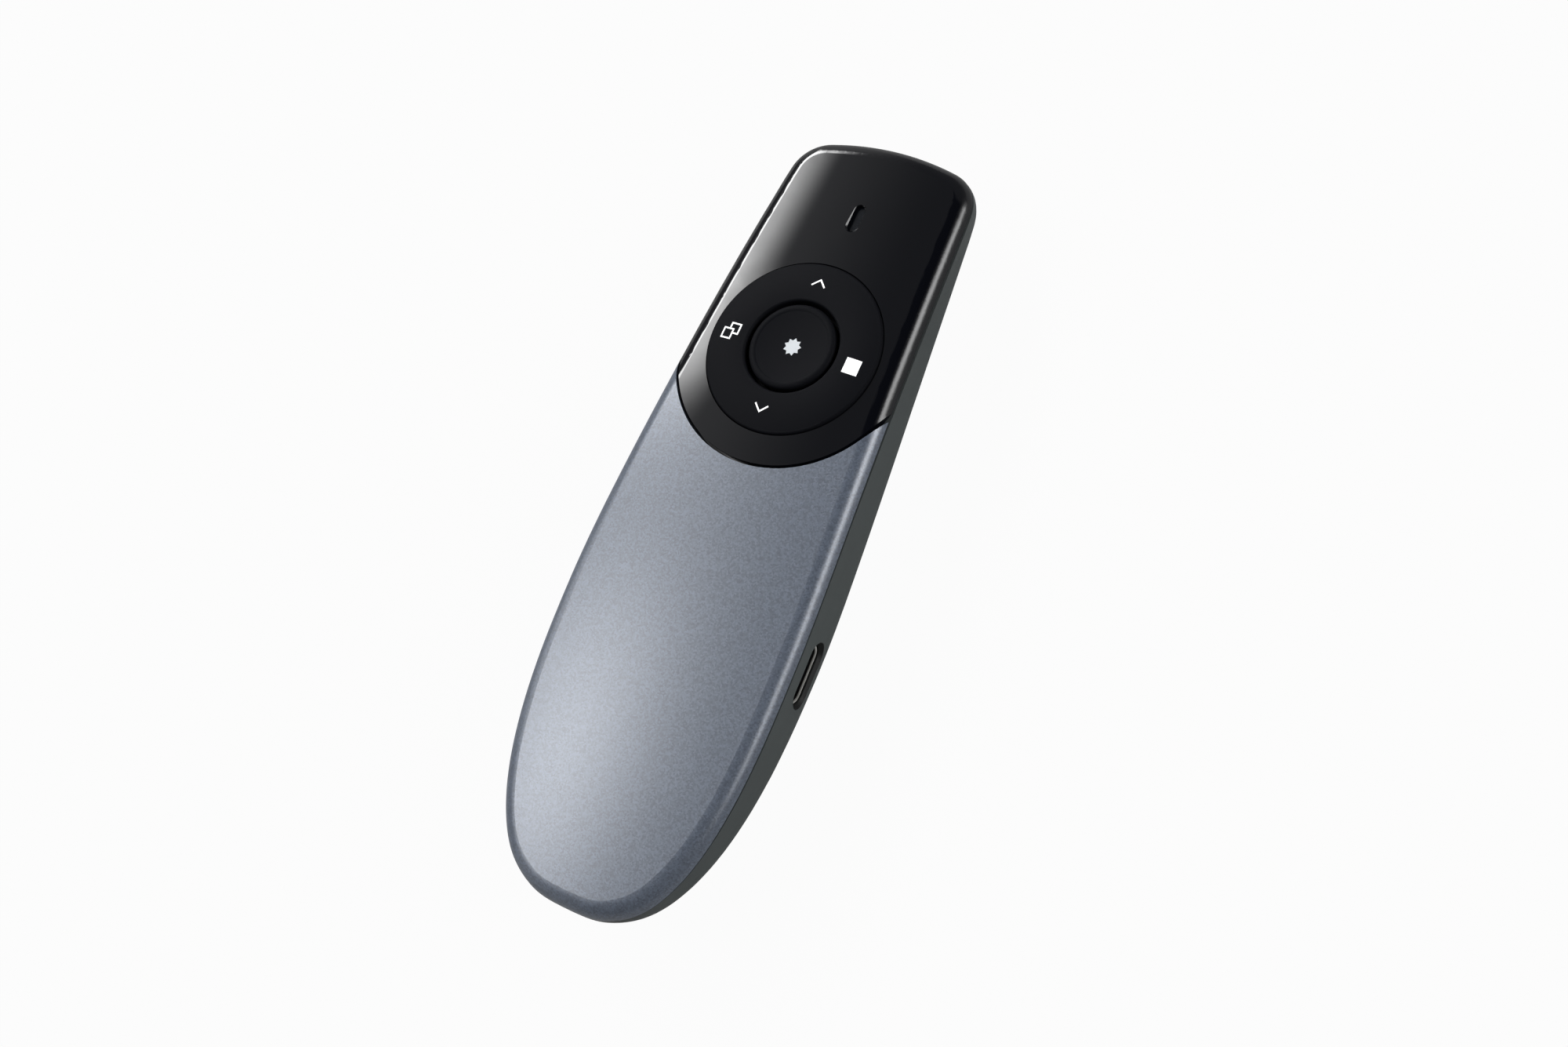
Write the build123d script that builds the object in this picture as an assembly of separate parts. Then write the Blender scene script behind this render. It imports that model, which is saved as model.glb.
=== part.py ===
from build123d import *
import math
import os

# Wireless presentation clicker, in millimetres.
# Origin: middle of the underside. +Y points to the laser end, +X to the charging
# socket, +Z up. The controls are built in a deck frame of their own: its origin is
# the middle of the navigation ring, its Z is square to the gently arched top.

# ---- Driving dimensions -------------------------------------------------------

# Plan outline
TAIL_Y = -61.0
NOSE_Y = 60.8
WIDE_Y = -17.5
HALF_WIDTH = 20.1
TAIL_POWER = 2.7
TAIL_POINTS = 8
FLANK_SLOPE = 0.073
FLANK_EASE = 11.9
FLANK_END_Y = 52.0
FLANK_POINTS = 5
NOSE_ARC_R = 48.0
NOSE_CORNER_R = 6.5
NOSE_CORNER_SHARE = 0.75

# Arched top and the parting line between covers and case
HEIGHT = 18.5
TOP_ARCH_R = 482.65
CROWN_R = 220.0
PARTING_DROP = 2.65
PARTING_GAP = 0.15
EDGE_R = 2.9
COVER_WALL = 1.5
ARCH_CENTRE_Z = HEIGHT - TOP_ARCH_R
PARTING_R = TOP_ARCH_R - PARTING_DROP

# Bottom case hull: flat underside, then waterlines that swell out to the outline
HULL_ROUND_WIDTH = 8.6
HULL_ROUND_HEIGHT = 12.0
HULL_EXTRA_SLOPE = 0.03
HULL_LEVELS = (0.0, 0.55, 1.8, 3.9, 6.9, 12.0, 19.0)
HULL_TAIL_LIFT = 26.0
HULL_NOSE_LIFT = 17.0
TAIL_ROUND_HEIGHT = 10.5
NOSE_ROUND_HEIGHT = 9.0
CASE_WALL = 1.8
CASE_FLOOR = 1.6
SKIRT_INSET = 2.35
SKIRT_WALL = 0.8
SKIRT_DEPTH = 1.3

# Blocks that are only cut with or trimmed, all larger than the clicker
SLAB_HALF_WIDTH = 26.0
SLAB_LOW_Z = -6.0
SLAB_SWING_DEG = 9.0
BLOCK_HEIGHT = 24.0
FAR = 60.0

# Fits: how far a cut runs past a face, and how far a rib bites into its parent
OVERCUT = 1.0
BITE = 0.1
SLIDING_FIT = 0.05
SEATED_FIT = 0.02

# Navigation ring, in the deck frame
RING_Y = 25.7
RING_R = 13.75
RING_HOLE_R = 13.9
RING_HOLE_CUT = 12.0
RING_BORE_R = 7.36
RING_LIP_Z = 0.2
RING_LIP_R = 0.35
RING_CREST_Z = 0.55
RING_CREST_MID = (10.7, 0.5)
RING_EDGE = 0.4
RING_EDGE_TOP_Z = 0.06
RING_EDGE_MID = (RING_R - 0.1, -0.08)
RING_EDGE_LOW_Z = -0.34
RING_PLATE_Z = -1.6
RING_WALL_R = 12.6
RING_FLANGE_R = 14.8
RING_FLANGE_TOP_Z = -1.95
RING_FLANGE_LOW_Z = -2.6
RECESS_TOP_Z = -1.35
RECESS_GAP = 0.5
ICON_R = 10.4
DECK_TILT = math.degrees(math.asin(RING_Y / TOP_ARCH_R))
RING_Z = ARCH_CENTRE_Z + TOP_ARCH_R * math.cos(math.radians(DECK_TILT))
DECK = Location((0, RING_Y, RING_Z), (-DECK_TILT, 0, 0))

# Laser button, in the deck frame
BUTTON_R = 6.8
BUTTON_RIM_Z = 0.62
BUTTON_RIM_IN_R = 5.65
BUTTON_RIM_MID_R = 6.1
BUTTON_RIM_OUT_R = 6.48
BUTTON_RIM_FALL = 0.1
BUTTON_SIDE_MID = (BUTTON_R - 0.07, 0.3)
BUTTON_DISH = 0.45
BUTTON_DISH_MID = (3.2, 0.09)
BUTTON_WALL_R = 5.8
BUTTON_PLATE_Z = -1.1
BUTTON_FLANGE_R = 7.9
BUTTON_FLANGE_TOP_Z = -1.95
BUTTON_FLANGE_LOW_Z = -2.45

# Seam between the control cover and the grip cover: an arc round the ring
SEAM_R = 18.4
SEAM_GAP = 0.45
SEAM_END_Y = -4.0
TONGUE_R = 22.8
TONGUE_BORE_R = 17.2
TONGUE_WALL = 1.1
TONGUE_GAP = 0.1
TONGUE_SIDE_GAP = 0.3
TONGUE_END = 1.5
TONGUE_CUT = 20.0
SEAM_WEB_LOW_Z = -2.9
SEAM_WEB_HIGH_Z = 3.0
SEAM_WEB_SINK = 0.5

# Status light slot, in the deck frame
LED_Y = 22.3
LED_SLOT_LENGTH = 4.5
LED_SLOT_WIDTH = 1.75
LED_SLOT_CUT = 6.0
LED_SLOT_EDGE = 0.16
LIGHT_PIPE_SINK = 0.8
LIGHT_PIPE_LIGHT_GAP = 0.3
LIGHT_PIPE_ROOF_GAP = 0.3
LIGHT_PIPE_FLANGE = 0.8
LIGHT_PIPE_FLANGE_THICK = 0.6
LED_SIZE = (1.6, 3.2, 0.8)

# Switch stack, in the deck frame
PIVOT_Z = -3.8
PIN_R = 0.35
PIN_LENGTH = 1.3
PIN_OFFSET = 0.5
CRADLE_R = 8.3
CRADLE_BORE_R = 7.1
CRADLE_THICK = 0.8
LUG_Y = 9.05
LUG_SIZE = (2.4, 1.0, 2.95)
LUG_HOLE_LENGTH = 1.2
GUIDE_R = 6.8
GUIDE_BORE_R = 5.6
GUIDE_TOP_Z = -3.0
GUIDE_WEB_Z = -4.0
GUIDE_WEB_THICK = 0.8
GUIDE_WEB_BITE = 0.3
GUIDE_PEG_Y = 6.2
GUIDE_PEG_R = 0.55
GUIDE_PEG_PROUD = 0.3
GUIDE_HOLE_LENGTH = 2.0
STEM_R = 1.6
NUB_R = 1.1
BOARD_TOP_Z = -5.2
BOARD_THICK = 1.0
BOARD_LOW_Z = BOARD_TOP_Z - BOARD_THICK
DOME_R = 2.5
DOME_HEIGHT = 0.6
DOME_WALL = 0.12
DOME_GAP = 0.05
PRESS_Z = BOARD_TOP_Z + DOME_HEIGHT + DOME_GAP

# Main board, in the deck frame
BOARD_HALF_WIDTH = 12.6
BOARD_BACK_Y = -21.0
BOARD_SHOULDER_Y = 17.8
BOARD_FRONT_Y = 25.0
BOARD_TAB_HALF_WIDTH = 6.3
BOARD_CORNER_R = 1.2
BOARD_SCREW_SPOTS = ((10.6, 15.4), (-10.6, 15.4), (9.0, -18.6), (-9.0, -18.6))
BOARD_BOSS_R = 1.8
BOARD_BOSS_TOP_Z = 2.0
BOARD_BOSS_SINK = 0.4
BOARD_SCREW_R = 0.7
BOARD_SCREW_LENGTH = 3.6
BOARD_SCREW_HEAD_R = 1.35
BOARD_SCREW_HEAD = 0.8
RADIO_CHIP_SPOT = (-4.0, 11.2)
RADIO_CHIP_SIZE = (5.0, 5.0, 0.9)
CRYSTAL_SPOT = (3.0, 11.2)
CRYSTAL_SIZE = (3.2, 2.5, 0.8)
CHIP_CHAMFER = 0.12

# Charging board, charging socket on the +X wall
CHARGE_BOARD_TOP_Z = 9.1
CHARGE_BOARD_THICK = 0.8
CHARGE_BOARD_HALF_WIDTH = 16.9
CHARGE_BOARD_BACK_Y = -27.0
CHARGE_BOARD_FRONT_Y = -10.6
CHARGE_POST_SPOTS = ((14.6, -12.1), (-14.6, -25.0), (14.6, -25.0), (-14.6, -12.1))
CHARGE_POST_R = 1.3
CHARGE_PEG_R = 0.6
CHARGE_PEG_PROUD = 0.6
CHARGE_PEG_ROOT = 0.5
CHARGER_CHIP_SPOT = (6.0, -20.0)
CHARGER_CHIP_SIZE = (3.0, 3.0, 0.8)
WALL_X = 20.05
USB_Y = -17.6
USB_Z = 10.95
USB_TILT_DEG = 2.2
USB_SHELL_LENGTH = 8.94
USB_SHELL_HEIGHT = 3.2
USB_SHELL_DEPTH = 7.3
USB_SHELL_WALL = 0.3
USB_LEG_BACK = (1.2, 4.2)
USB_LEG_Y = 2.6
USB_LEG = (1.0, 0.6)
USB_LEG_BITE = 0.2
USB_SINK = 1.0
USB_HOLE_GAP = 0.3
USB_HOLE_BACK_X = 16.0
USB_HOLE_FRONT_X = 24.0
USB_FLARE = 1.0
USB_FLARE_DEPTH = 0.75
USB_FLARE_LENGTH = 2.0
USB_TONGUE = (4.4, 6.7, 0.7)
USB_TONGUE_BASE = 2.2
USB_TONGUE_BITE = 0.2
USB_TONGUE_FIT = 0.03
USB_CONTACTS = 12
USB_CONTACT_PITCH = 0.5
USB_CONTACT = (3.0, 0.26, 0.04)

# Power switch on the -X wall
SWITCH_Y = -17.6
SWITCH_Z = 10.9
SWITCH_TRAVEL = 2.2
SWITCH_WINDOW_DEPTH = 3.0
SWITCH_BODY = (3.4, 9.0, 3.4)
SWITCH_BODY_X = -14.9
SWITCH_BODY_CHAMFER = 0.3
SWITCH_SLOT = (4.0, SWITCH_TRAVEL + 2.0, 1.2)
KNOB_LENGTH = 5.6
KNOB_HEIGHT = 2.6
KNOB_PROUD = 0.55
KNOB_DEPTH = 2.7
KNOB_CHAMFER = 0.2
KNOB_GAP = 0.15
KNOB_GROOVES = 4
KNOB_GROOVE_PITCH = 0.8
KNOB_GROOVE = (0.3, 0.5)
KNOB_PLATE = (3.4, 11.2, 0.7)
KNOB_ARM = (0.9, 1.6, 1.8)
KNOB_ARM_START = 0.3

# Laser module along Y
LASER_Z = 6.4
LASER_BARREL_R = 3.0
LASER_BARREL_BACK_Y = 39.0
LASER_BARREL_FRONT_Y = 57.2
LASER_BARREL_CHAMFER = 0.3
LASER_SEAT_SPARE = 0.4
LASER_BORE_R = 1.9
LASER_LENS_THICK = 1.6
LASER_LENS_SINK = 1.0
LASER_LENS_CHAMFER = 0.25
LASER_DIODE_R = 2.35
LASER_DIODE_SINK = 0.1
LASER_DIODE_FLANGE = 1.2
LASER_DIODE_CAN_R = 1.6
LASER_DIODE_CAN = 2.4
LASER_PIN_R = 0.22
LASER_PIN_CIRCLE_R = 1.0
LASER_PIN_LENGTH = 4.0
LASER_PIN_TURNS = (90, 210, 330)
LASER_WINDOW_R = 2.2
LASER_WINDOW_BACK_Y = 58.2
LASER_BEZEL_R = 3.0
LASER_BEZEL_BORE_R = 1.7
LASER_BEZEL_Y = 59.3
SADDLE_Y = (43.0, 53.0)
SADDLE_SIZE = (9.0, 1.6)
SADDLE_LOW_Z = 0.8

# Receiver parked in the tail
RECEIVER_HALF_WIDTH = 8.2
RECEIVER_Z = 8.9
RECEIVER_FLOOR_Z = 6.0
RECEIVER_SHELL = (12.0, 14.0, 4.5)
RECEIVER_SHELL_WALL = 0.3
RECEIVER_SHELL_CORNER_R = 0.5
RECEIVER_WINDOW = (2.0, 2.4)
RECEIVER_WINDOW_X = 2.6
RECEIVER_WINDOW_Y = 8.6
RECEIVER_CAP_DEPTH = 12.0
RECEIVER_CAP_FRONT_Y = -54.8
RECEIVER_GAP = 0.15
RECEIVER_TOP_GAP = 0.1
RECEIVER_TONGUE_THICK = 1.9
RECEIVER_TONGUE_SHORT = 0.6
RECEIVER_TONGUE_FIT = 0.05
RECEIVER_CONTACT_X = (-3.5, -1.0, 1.0, 3.5)
RECEIVER_CONTACT = (1.0, 7.4, 0.05)
RECEIVER_CONTACT_SHORT = 1.2
NAIL_NOTCH_HALF_WIDTH = 2.4
NAIL_NOTCH_DEPTH = 1.3
NAIL_NOTCH_LOW = 1.4
BAY_WALL = 1.3
BAY_LOW_Z = 1.0
BAY_TOP_Z = 11.4
BAY_SHELF = 1.2
BAY_SPARE = 0.6
BAY_BACK_Y = RECEIVER_CAP_FRONT_Y + RECEIVER_SHELL[1] + BAY_SPARE
MAGNET_R = 2.0
MAGNET_THICK = 1.6

# Battery, its leads and the flat cable between the boards
BATTERY_SIZE = (20.0, 34.0, 5.0)
BATTERY_Y = 9.0
BATTERY_EDGE_R = 1.2
BATTERY_PAD = (14.0, 28.0, 1.0)
LEAD_R = 0.5
LEAD_X = 2.0
LEAD_LOW_Z = 6.2
LEAD_HIGH_Z = 11.0
LEAD_STANDOFF = 1.4
LEAD_REACH = 5.0
LEAD_BEND_R = 0.9
PLUG_SIZE = (6.0, 4.0, 2.9)
PLUG_CHAMFER = 0.4
RIBBON_X = 5.2
RIBBON_WIDTH = 4.0
RIBBON_THICK = 0.2
RIBBON_GAP = 0.05
RIBBON_LAP = 1.8
RIBBON_RISE = 2.5
RIBBON_UNDER = (0.8, 3.6)
RIBBON_BEND_R = 2.0

# Case screws and their bosses
CASE_SCREW_SPOTS = ((9.4, 50.0), (-9.4, 50.0), (13.0, -36.0), (-13.0, -36.0))
CASE_BOSS_R = 3.2
COVER_BOSS_R = 2.5
BOSS_ROOT_Z = 0.2
BOSS_JOINT_Z = 9.0
CASE_SCREW_R = 0.95
CASE_SCREW_HEAD_R = 1.9
CASE_SCREW_HEAD = 1.2
CASE_SCREW_SEAT_Z = 4.2
CASE_SCREW_TOP_Z = 13.2
SCREW_GAP = 0.1
SCREW_HEAD_BITE = 0.2
SCREW_HEAD_CHAMFER_SHARE = 0.3
SCREW_CROSS_SHARE = (1.3, 0.3)
PILOT_SPARE = 0.5

BOTTOM = (Align.CENTER, Align.CENTER, Align.MIN)
TOP = (Align.CENTER, Align.CENTER, Align.MAX)
AHEAD = (Align.CENTER, Align.MIN, Align.CENTER)
AHEAD_BOTTOM = (Align.CENTER, Align.MIN, Align.MIN)
AHEAD_TOP = (Align.CENTER, Align.MIN, Align.MAX)
BEHIND = (Align.CENTER, Align.MAX, Align.CENTER)
BEHIND_BOTTOM = (Align.CENTER, Align.MAX, Align.MIN)


# ---- Shared shapes --------------------------------------------------------------

def plan_outline(inset=0.0, tail_y=TAIL_Y, nose_y=NOSE_Y, slope=FLANK_SLOPE):
    """Closed plan outline: superellipse tail, eased flanks, blunt arched nose."""
    half = HALF_WIDTH - inset
    tail_length = WIDE_Y - tail_y
    power = 2.0 / TAIL_POWER
    tail = []
    for step in range(TAIL_POINTS):
        turn = math.radians(90.0 * step / (TAIL_POINTS - 1))
        tail.append((half * abs(math.cos(turn)) ** power, WIDE_Y - tail_length * math.sin(turn) ** power))
    tail[-1] = (0.0, tail_y)

    flank = []
    end_y = nose_y - (NOSE_Y - FLANK_END_Y)
    for step in range(FLANK_POINTS):
        y = WIDE_Y + (end_y - WIDE_Y) * step / (FLANK_POINTS - 1)
        run = math.hypot(y - WIDE_Y, FLANK_EASE) - FLANK_EASE
        flank.append((half - slope * run, y))
    nose_side_x = flank[-1][0] - slope * (nose_y - end_y)
    nose_side_y = nose_y - (NOSE_ARC_R - math.sqrt(NOSE_ARC_R ** 2 - nose_side_x ** 2))

    right_tail = Spline(tail, tangents=((0, -1), (-1, 0)))
    right_flank = Spline(flank, tangents=((0, 1), (-slope, 1)))
    right_nose = Line(flank[-1], (nose_side_x, nose_side_y))
    nose = ThreePointArc((nose_side_x, nose_side_y), (0, nose_y), (-nose_side_x, nose_side_y))
    right = Curve() + [right_tail, right_flank, right_nose]
    face = make_face(Curve() + [right, mirror(right, Plane.YZ), nose])
    corners = face.vertices().sort_by(Axis.Y)[-2:]
    return fillet(corners, min(NOSE_CORNER_R, NOSE_CORNER_SHARE * nose_side_x))


def arched_slab(top_radius, crown_r):
    """Everything under a top that is arched along Y and, with crown_r, across X."""
    half = SLAB_HALF_WIDTH
    apex = ARCH_CENTRE_Z + top_radius
    edge = apex
    top = Line((-half, apex), (half, apex))
    if crown_r:
        edge = apex - (crown_r - math.sqrt(crown_r ** 2 - half ** 2))
        top = ThreePointArc((-half, edge), (0, apex), (half, edge))
    rest = Polyline((half, edge), (half, SLAB_LOW_Z), (-half, SLAB_LOW_Z), (-half, edge))
    section = Plane.XZ * make_face(Curve() + [top, rest])
    hinge = Axis((0, 0, ARCH_CENTRE_Z), (1, 0, 0))
    return revolve(section.rotate(hinge, -SLAB_SWING_DEG), hinge, 2 * SLAB_SWING_DEG)


def cover_body(inset):
    """The covers before they are split: outline, arched top and rolled edge."""
    block = extrude(plan_outline(inset, TAIL_Y + inset, NOSE_Y - inset), BLOCK_HEIGHT)
    solid = block & arched_slab(TOP_ARCH_R - inset, CROWN_R)
    top_face = solid.faces().sort_by(Axis.Z)[-1]
    return fillet(top_face.edges(), EDGE_R - 0.5 * inset)


def hull(wall=0.0, floor=0.0):
    """Lower hull as a loft through waterlines; wall and floor shrink it evenly."""
    sections = []
    for level in HULL_LEVELS:
        rise = min(level / HULL_ROUND_HEIGHT, 1.0)
        side = HULL_ROUND_WIDTH * (1 - math.sqrt(1 - (1 - rise) ** 2))
        tail_rise = min(level / TAIL_ROUND_HEIGHT, 1.0)
        tail_in = HULL_TAIL_LIFT * (1 - math.sqrt(1 - (1 - tail_rise) ** 2))
        nose_rise = min(level / NOSE_ROUND_HEIGHT, 1.0)
        nose_in = HULL_NOSE_LIFT * (1 - math.sqrt(1 - (1 - nose_rise) ** 2))
        slope = FLANK_SLOPE + HULL_EXTRA_SLOPE * (1 - rise)
        outline = plan_outline(side + wall, TAIL_Y + tail_in + wall, NOSE_Y - nose_in - wall, slope)
        sections.append(Pos(0, 0, level + floor) * outline)
    return loft(sections)


def boss(spot, radius, low_z, high_z):
    """Upright round post between two heights."""
    return Pos(spot[0], spot[1], low_z) * Cylinder(radius, high_z - low_z, align=BOTTOM)


def ring_of(radius, bore, low_z, high_z):
    """Flat washer shape round Z."""
    height = high_z - low_z
    return Pos(0, 0, low_z) * (Cylinder(radius, height, align=BOTTOM) - Cylinder(bore, height, align=BOTTOM))


def slot_bar(length, width, low_z, high_z):
    """Round-ended bar that runs along Y."""
    return Pos(0, 0, low_z) * extrude(Rot(0, 0, 90) * SlotOverall(length, width), high_z - low_z)


def at_socket(x):
    """The charging socket's tilted axis, at a distance along X."""
    return Pos(x, USB_Y, USB_Z) * Rot(USB_TILT_DEG, 0, 0)


def socket_bar(length, height, back_x, front_x):
    """Round-ended bar that runs along the charging socket's axis."""
    return at_socket(back_x) * extrude(Plane.YZ * SlotOverall(length, height), front_x - back_x)


def control_region(gap=0.0):
    """Space inside the seam arc and forward of the arc's two ends."""
    disc = Cylinder(SEAM_R + gap, FAR)
    front = Pos(0, SEAM_END_Y - gap, 0) * Box(FAR, FAR, FAR, align=AHEAD)
    return DECK * (disc + front)


def on_deck(shape):
    """Carry a shape that was built in the deck frame into the part's frame."""
    return DECK * shape


COVER_SPACE = cover_body(0)
ROOM_UNDER_COVERS = cover_body(COVER_WALL)
BELOW_PARTING = arched_slab(PARTING_R, None)
ABOVE_CASE = arched_slab(PARTING_R + PARTING_GAP, None)
COVER_SHELL = COVER_SPACE - ABOVE_CASE - ROOM_UNDER_COVERS
HULL_SPACE = hull()


# ---- Housing --------------------------------------------------------------------

def below_roof(depth):
    """Everything lower than a given depth under the covers' crowned top."""
    return arched_slab(TOP_ARCH_R - depth, CROWN_R)


def roof_posts(spots, radius, low_z):
    """Upright posts from a height up to the underside of the covers' roof."""
    return (Part() + [boss(spot, radius, low_z, HEIGHT) for spot in spots]) & ROOM_UNDER_COVERS


def cover_skirt():
    """Locating skirt under the roof that drops inside the wall of the case."""
    inner = SKIRT_INSET + SKIRT_WALL
    band = plan_outline(SKIRT_INSET, TAIL_Y + SKIRT_INSET, NOSE_Y - SKIRT_INSET)
    band -= plan_outline(inner, TAIL_Y + inner, NOSE_Y - inner)
    skirt = (extrude(band, BLOCK_HEIGHT) & ROOM_UNDER_COVERS) - arched_slab(PARTING_R - SKIRT_DEPTH, None)
    mouth = Box(2 * RECEIVER_HALF_WIDTH + OVERCUT, FAR, FAR, align=BEHIND)
    return skirt - Pos(0, RECEIVER_CAP_FRONT_Y + OVERCUT, 0) * mouth


def pilot_holes(spots):
    """Holes in the cover bosses that the case screws bite into."""
    radius = CASE_SCREW_R + SLIDING_FIT
    return [boss(spot, radius, BOSS_JOINT_Z - OVERCUT, CASE_SCREW_TOP_Z + PILOT_SPARE) for spot in spots]


def ring_opening():
    """Stepped round opening: a neat hole in the roof and room for the ring's flange under it."""
    recess = Cylinder(RING_FLANGE_R + RECESS_GAP, RING_HOLE_CUT, align=TOP)
    return DECK * (Cylinder(RING_HOLE_R, RING_HOLE_CUT) + Pos(0, 0, RECESS_TOP_Z) * recess)


def light_opening():
    """Slot for the status light, with a small chamfer round its mouth."""
    surface_z = -LED_Y ** 2 / (2 * TOP_ARCH_R)
    slot = slot_bar(LED_SLOT_LENGTH, LED_SLOT_WIDTH, -LED_SLOT_CUT, LED_SLOT_CUT)
    mouth = extrude(Rot(0, 0, 90) * SlotOverall(LED_SLOT_LENGTH, LED_SLOT_WIDTH), OVERCUT, taper=-45)
    return DECK * Pos(0, LED_Y, 0) * (slot + Pos(0, 0, surface_z - LED_SLOT_EDGE) * mouth)


def seam_tongue():
    """Black tongue round the seam that reaches under the front edge of the grip cover."""
    behind = Pos(0, SEAM_END_Y - TONGUE_END, 0) * Box(FAR, FAR, FAR, align=BEHIND)
    sleeve = cover_body(COVER_WALL + TONGUE_GAP) - cover_body(COVER_WALL + TONGUE_GAP + TONGUE_WALL)
    under_grip = sleeve & (DECK * (ring_of(TONGUE_R, TONGUE_BORE_R, -TONGUE_CUT, TONGUE_CUT) & behind))
    seam_web = DECK * (ring_of(SEAM_R, TONGUE_BORE_R, SEAM_WEB_LOW_Z, SEAM_WEB_HIGH_Z) & behind)
    return under_grip + (COVER_SPACE & seam_web & below_roof(SEAM_WEB_SINK)) - ABOVE_CASE


def board_posts(spots):
    """Posts in the deck frame that the main board is screwed to."""
    return DECK * (Part() + [boss(spot, BOARD_BOSS_R, BOARD_TOP_Z, BOARD_BOSS_TOP_Z) for spot in spots])


def board_pilots():
    """Holes in the board posts that the board screws bite into."""
    radius = BOARD_SCREW_R + SLIDING_FIT
    top_z = BOARD_LOW_Z + BOARD_SCREW_LENGTH + PILOT_SPARE
    return [DECK * boss(spot, radius, BOARD_TOP_Z - OVERCUT, top_z) for spot in BOARD_SCREW_SPOTS]


def make_control_cover():
    cover = (COVER_SHELL & control_region()) - ring_opening() - light_opening()
    additions = [
        seam_tongue(),
        board_posts(BOARD_SCREW_SPOTS[:2]) & ROOM_UNDER_COVERS,
        board_posts(BOARD_SCREW_SPOTS[2:]) & below_roof(COVER_WALL + TONGUE_GAP + BOARD_BOSS_SINK),
        roof_posts(CASE_SCREW_SPOTS[:2], COVER_BOSS_R, BOSS_JOINT_Z),
        cover_skirt() & control_region(),
    ]
    return cover + additions - (board_pilots() + pilot_holes(CASE_SCREW_SPOTS[:2])) - ring_opening()


def make_grip_cover():
    posts = roof_posts(CASE_SCREW_SPOTS[2:], COVER_BOSS_R, BOSS_JOINT_Z)
    skirt = cover_skirt() - control_region(SEAM_GAP) - DECK * Cylinder(TONGUE_R + TONGUE_SIDE_GAP, FAR)
    cover = (COVER_SHELL - control_region(SEAM_GAP)) + [posts, skirt]
    return cover - pilot_holes(CASE_SCREW_SPOTS[2:])


def receiver_bay():
    """Walls, shelf and end stop that guide the parked receiver."""
    half_width = RECEIVER_SHELL[0] / 2 + RECEIVER_GAP
    length = BAY_BACK_Y + BAY_WALL - RECEIVER_CAP_FRONT_Y
    height = BAY_TOP_Z - BAY_LOW_Z
    cross = 2 * half_width + BAY_WALL
    walls = []
    for side in (-1, 1):
        place = Pos(side * (half_width + BAY_WALL / 2), RECEIVER_CAP_FRONT_Y, BAY_LOW_Z)
        walls.append(place * Box(BAY_WALL, length, height, align=AHEAD_BOTTOM))
    shelf_z = RECEIVER_Z - RECEIVER_SHELL[2] / 2 - RECEIVER_GAP
    shelf = Box(cross, length + OVERCUT, BAY_SHELF, align=AHEAD_BOTTOM)
    stop = Box(cross, MAGNET_THICK + BAY_WALL, height, align=AHEAD_BOTTOM)
    walls.append(Pos(0, RECEIVER_CAP_FRONT_Y - OVERCUT, shelf_z - BAY_SHELF) * shelf)
    walls.append(Pos(0, BAY_BACK_Y, BAY_LOW_Z) * stop)
    return walls


def case_ribs():
    """Screw bosses, board posts, barrel saddles and the walls of the receiver bay."""
    post_top = CHARGE_BOARD_TOP_Z - CHARGE_BOARD_THICK
    peg_low = post_top - CHARGE_PEG_ROOT
    peg_high = CHARGE_BOARD_TOP_Z + CHARGE_PEG_PROUD
    saddle = Box(*SADDLE_SIZE, LASER_Z - SADDLE_LOW_Z, align=BOTTOM)
    ribs = [boss(spot, CASE_BOSS_R, BOSS_ROOT_Z, BOSS_JOINT_Z) for spot in CASE_SCREW_SPOTS]
    ribs += [boss(spot, CHARGE_POST_R, BOSS_ROOT_Z, post_top) for spot in CHARGE_POST_SPOTS]
    ribs += [boss(spot, CHARGE_PEG_R, peg_low, peg_high) for spot in CHARGE_POST_SPOTS]
    ribs += [Pos(0, y, SADDLE_LOW_Z) * saddle for y in SADDLE_Y]
    return ribs + receiver_bay()


def screw_cuts():
    """Shank holes and counterbores of the case screws."""
    cuts = []
    for spot in CASE_SCREW_SPOTS:
        cuts.append(boss(spot, CASE_SCREW_R + SCREW_GAP, -OVERCUT, BOSS_JOINT_Z + OVERCUT))
        cuts.append(boss(spot, CASE_SCREW_HEAD_R + SCREW_GAP, -OVERCUT, CASE_SCREW_SEAT_Z))
    return cuts


def laser_cuts():
    """Seat of the barrel, hole of the window and counterbore of the bezel."""
    nose_y = NOSE_Y + OVERCUT
    return [
        along_y(LASER_BARREL_R, LASER_BARREL_BACK_Y, LASER_BARREL_FRONT_Y + LASER_SEAT_SPARE),
        along_y(LASER_WINDOW_R, LASER_BARREL_FRONT_Y, nose_y),
        along_y(LASER_BEZEL_R, LASER_BEZEL_Y, nose_y),
    ]


def socket_cuts():
    """Hole for the charging socket and the flare that guides the plug in."""
    length = USB_SHELL_LENGTH + USB_HOLE_GAP
    height = USB_SHELL_HEIGHT + USB_HOLE_GAP
    flare_deg = math.degrees(math.atan2(0.5 * USB_FLARE, USB_FLARE_DEPTH))
    flare = extrude(Plane.YZ * SlotOverall(length, height), USB_FLARE_LENGTH, taper=-flare_deg)
    return [
        socket_bar(length, height, USB_HOLE_BACK_X, USB_HOLE_FRONT_X),
        at_socket(WALL_X - USB_FLARE_DEPTH) * flare,
    ]


def switch_window():
    """Window in the wall that the power knob slides in."""
    length = KNOB_LENGTH + SWITCH_TRAVEL + 2 * KNOB_GAP
    window = slot_bar(length, KNOB_HEIGHT + 2 * KNOB_GAP, -SWITCH_WINDOW_DEPTH, SWITCH_WINDOW_DEPTH)
    return Pos(-WALL_X, SWITCH_Y, SWITCH_Z) * Rot(0, 90, 0) * window


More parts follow.
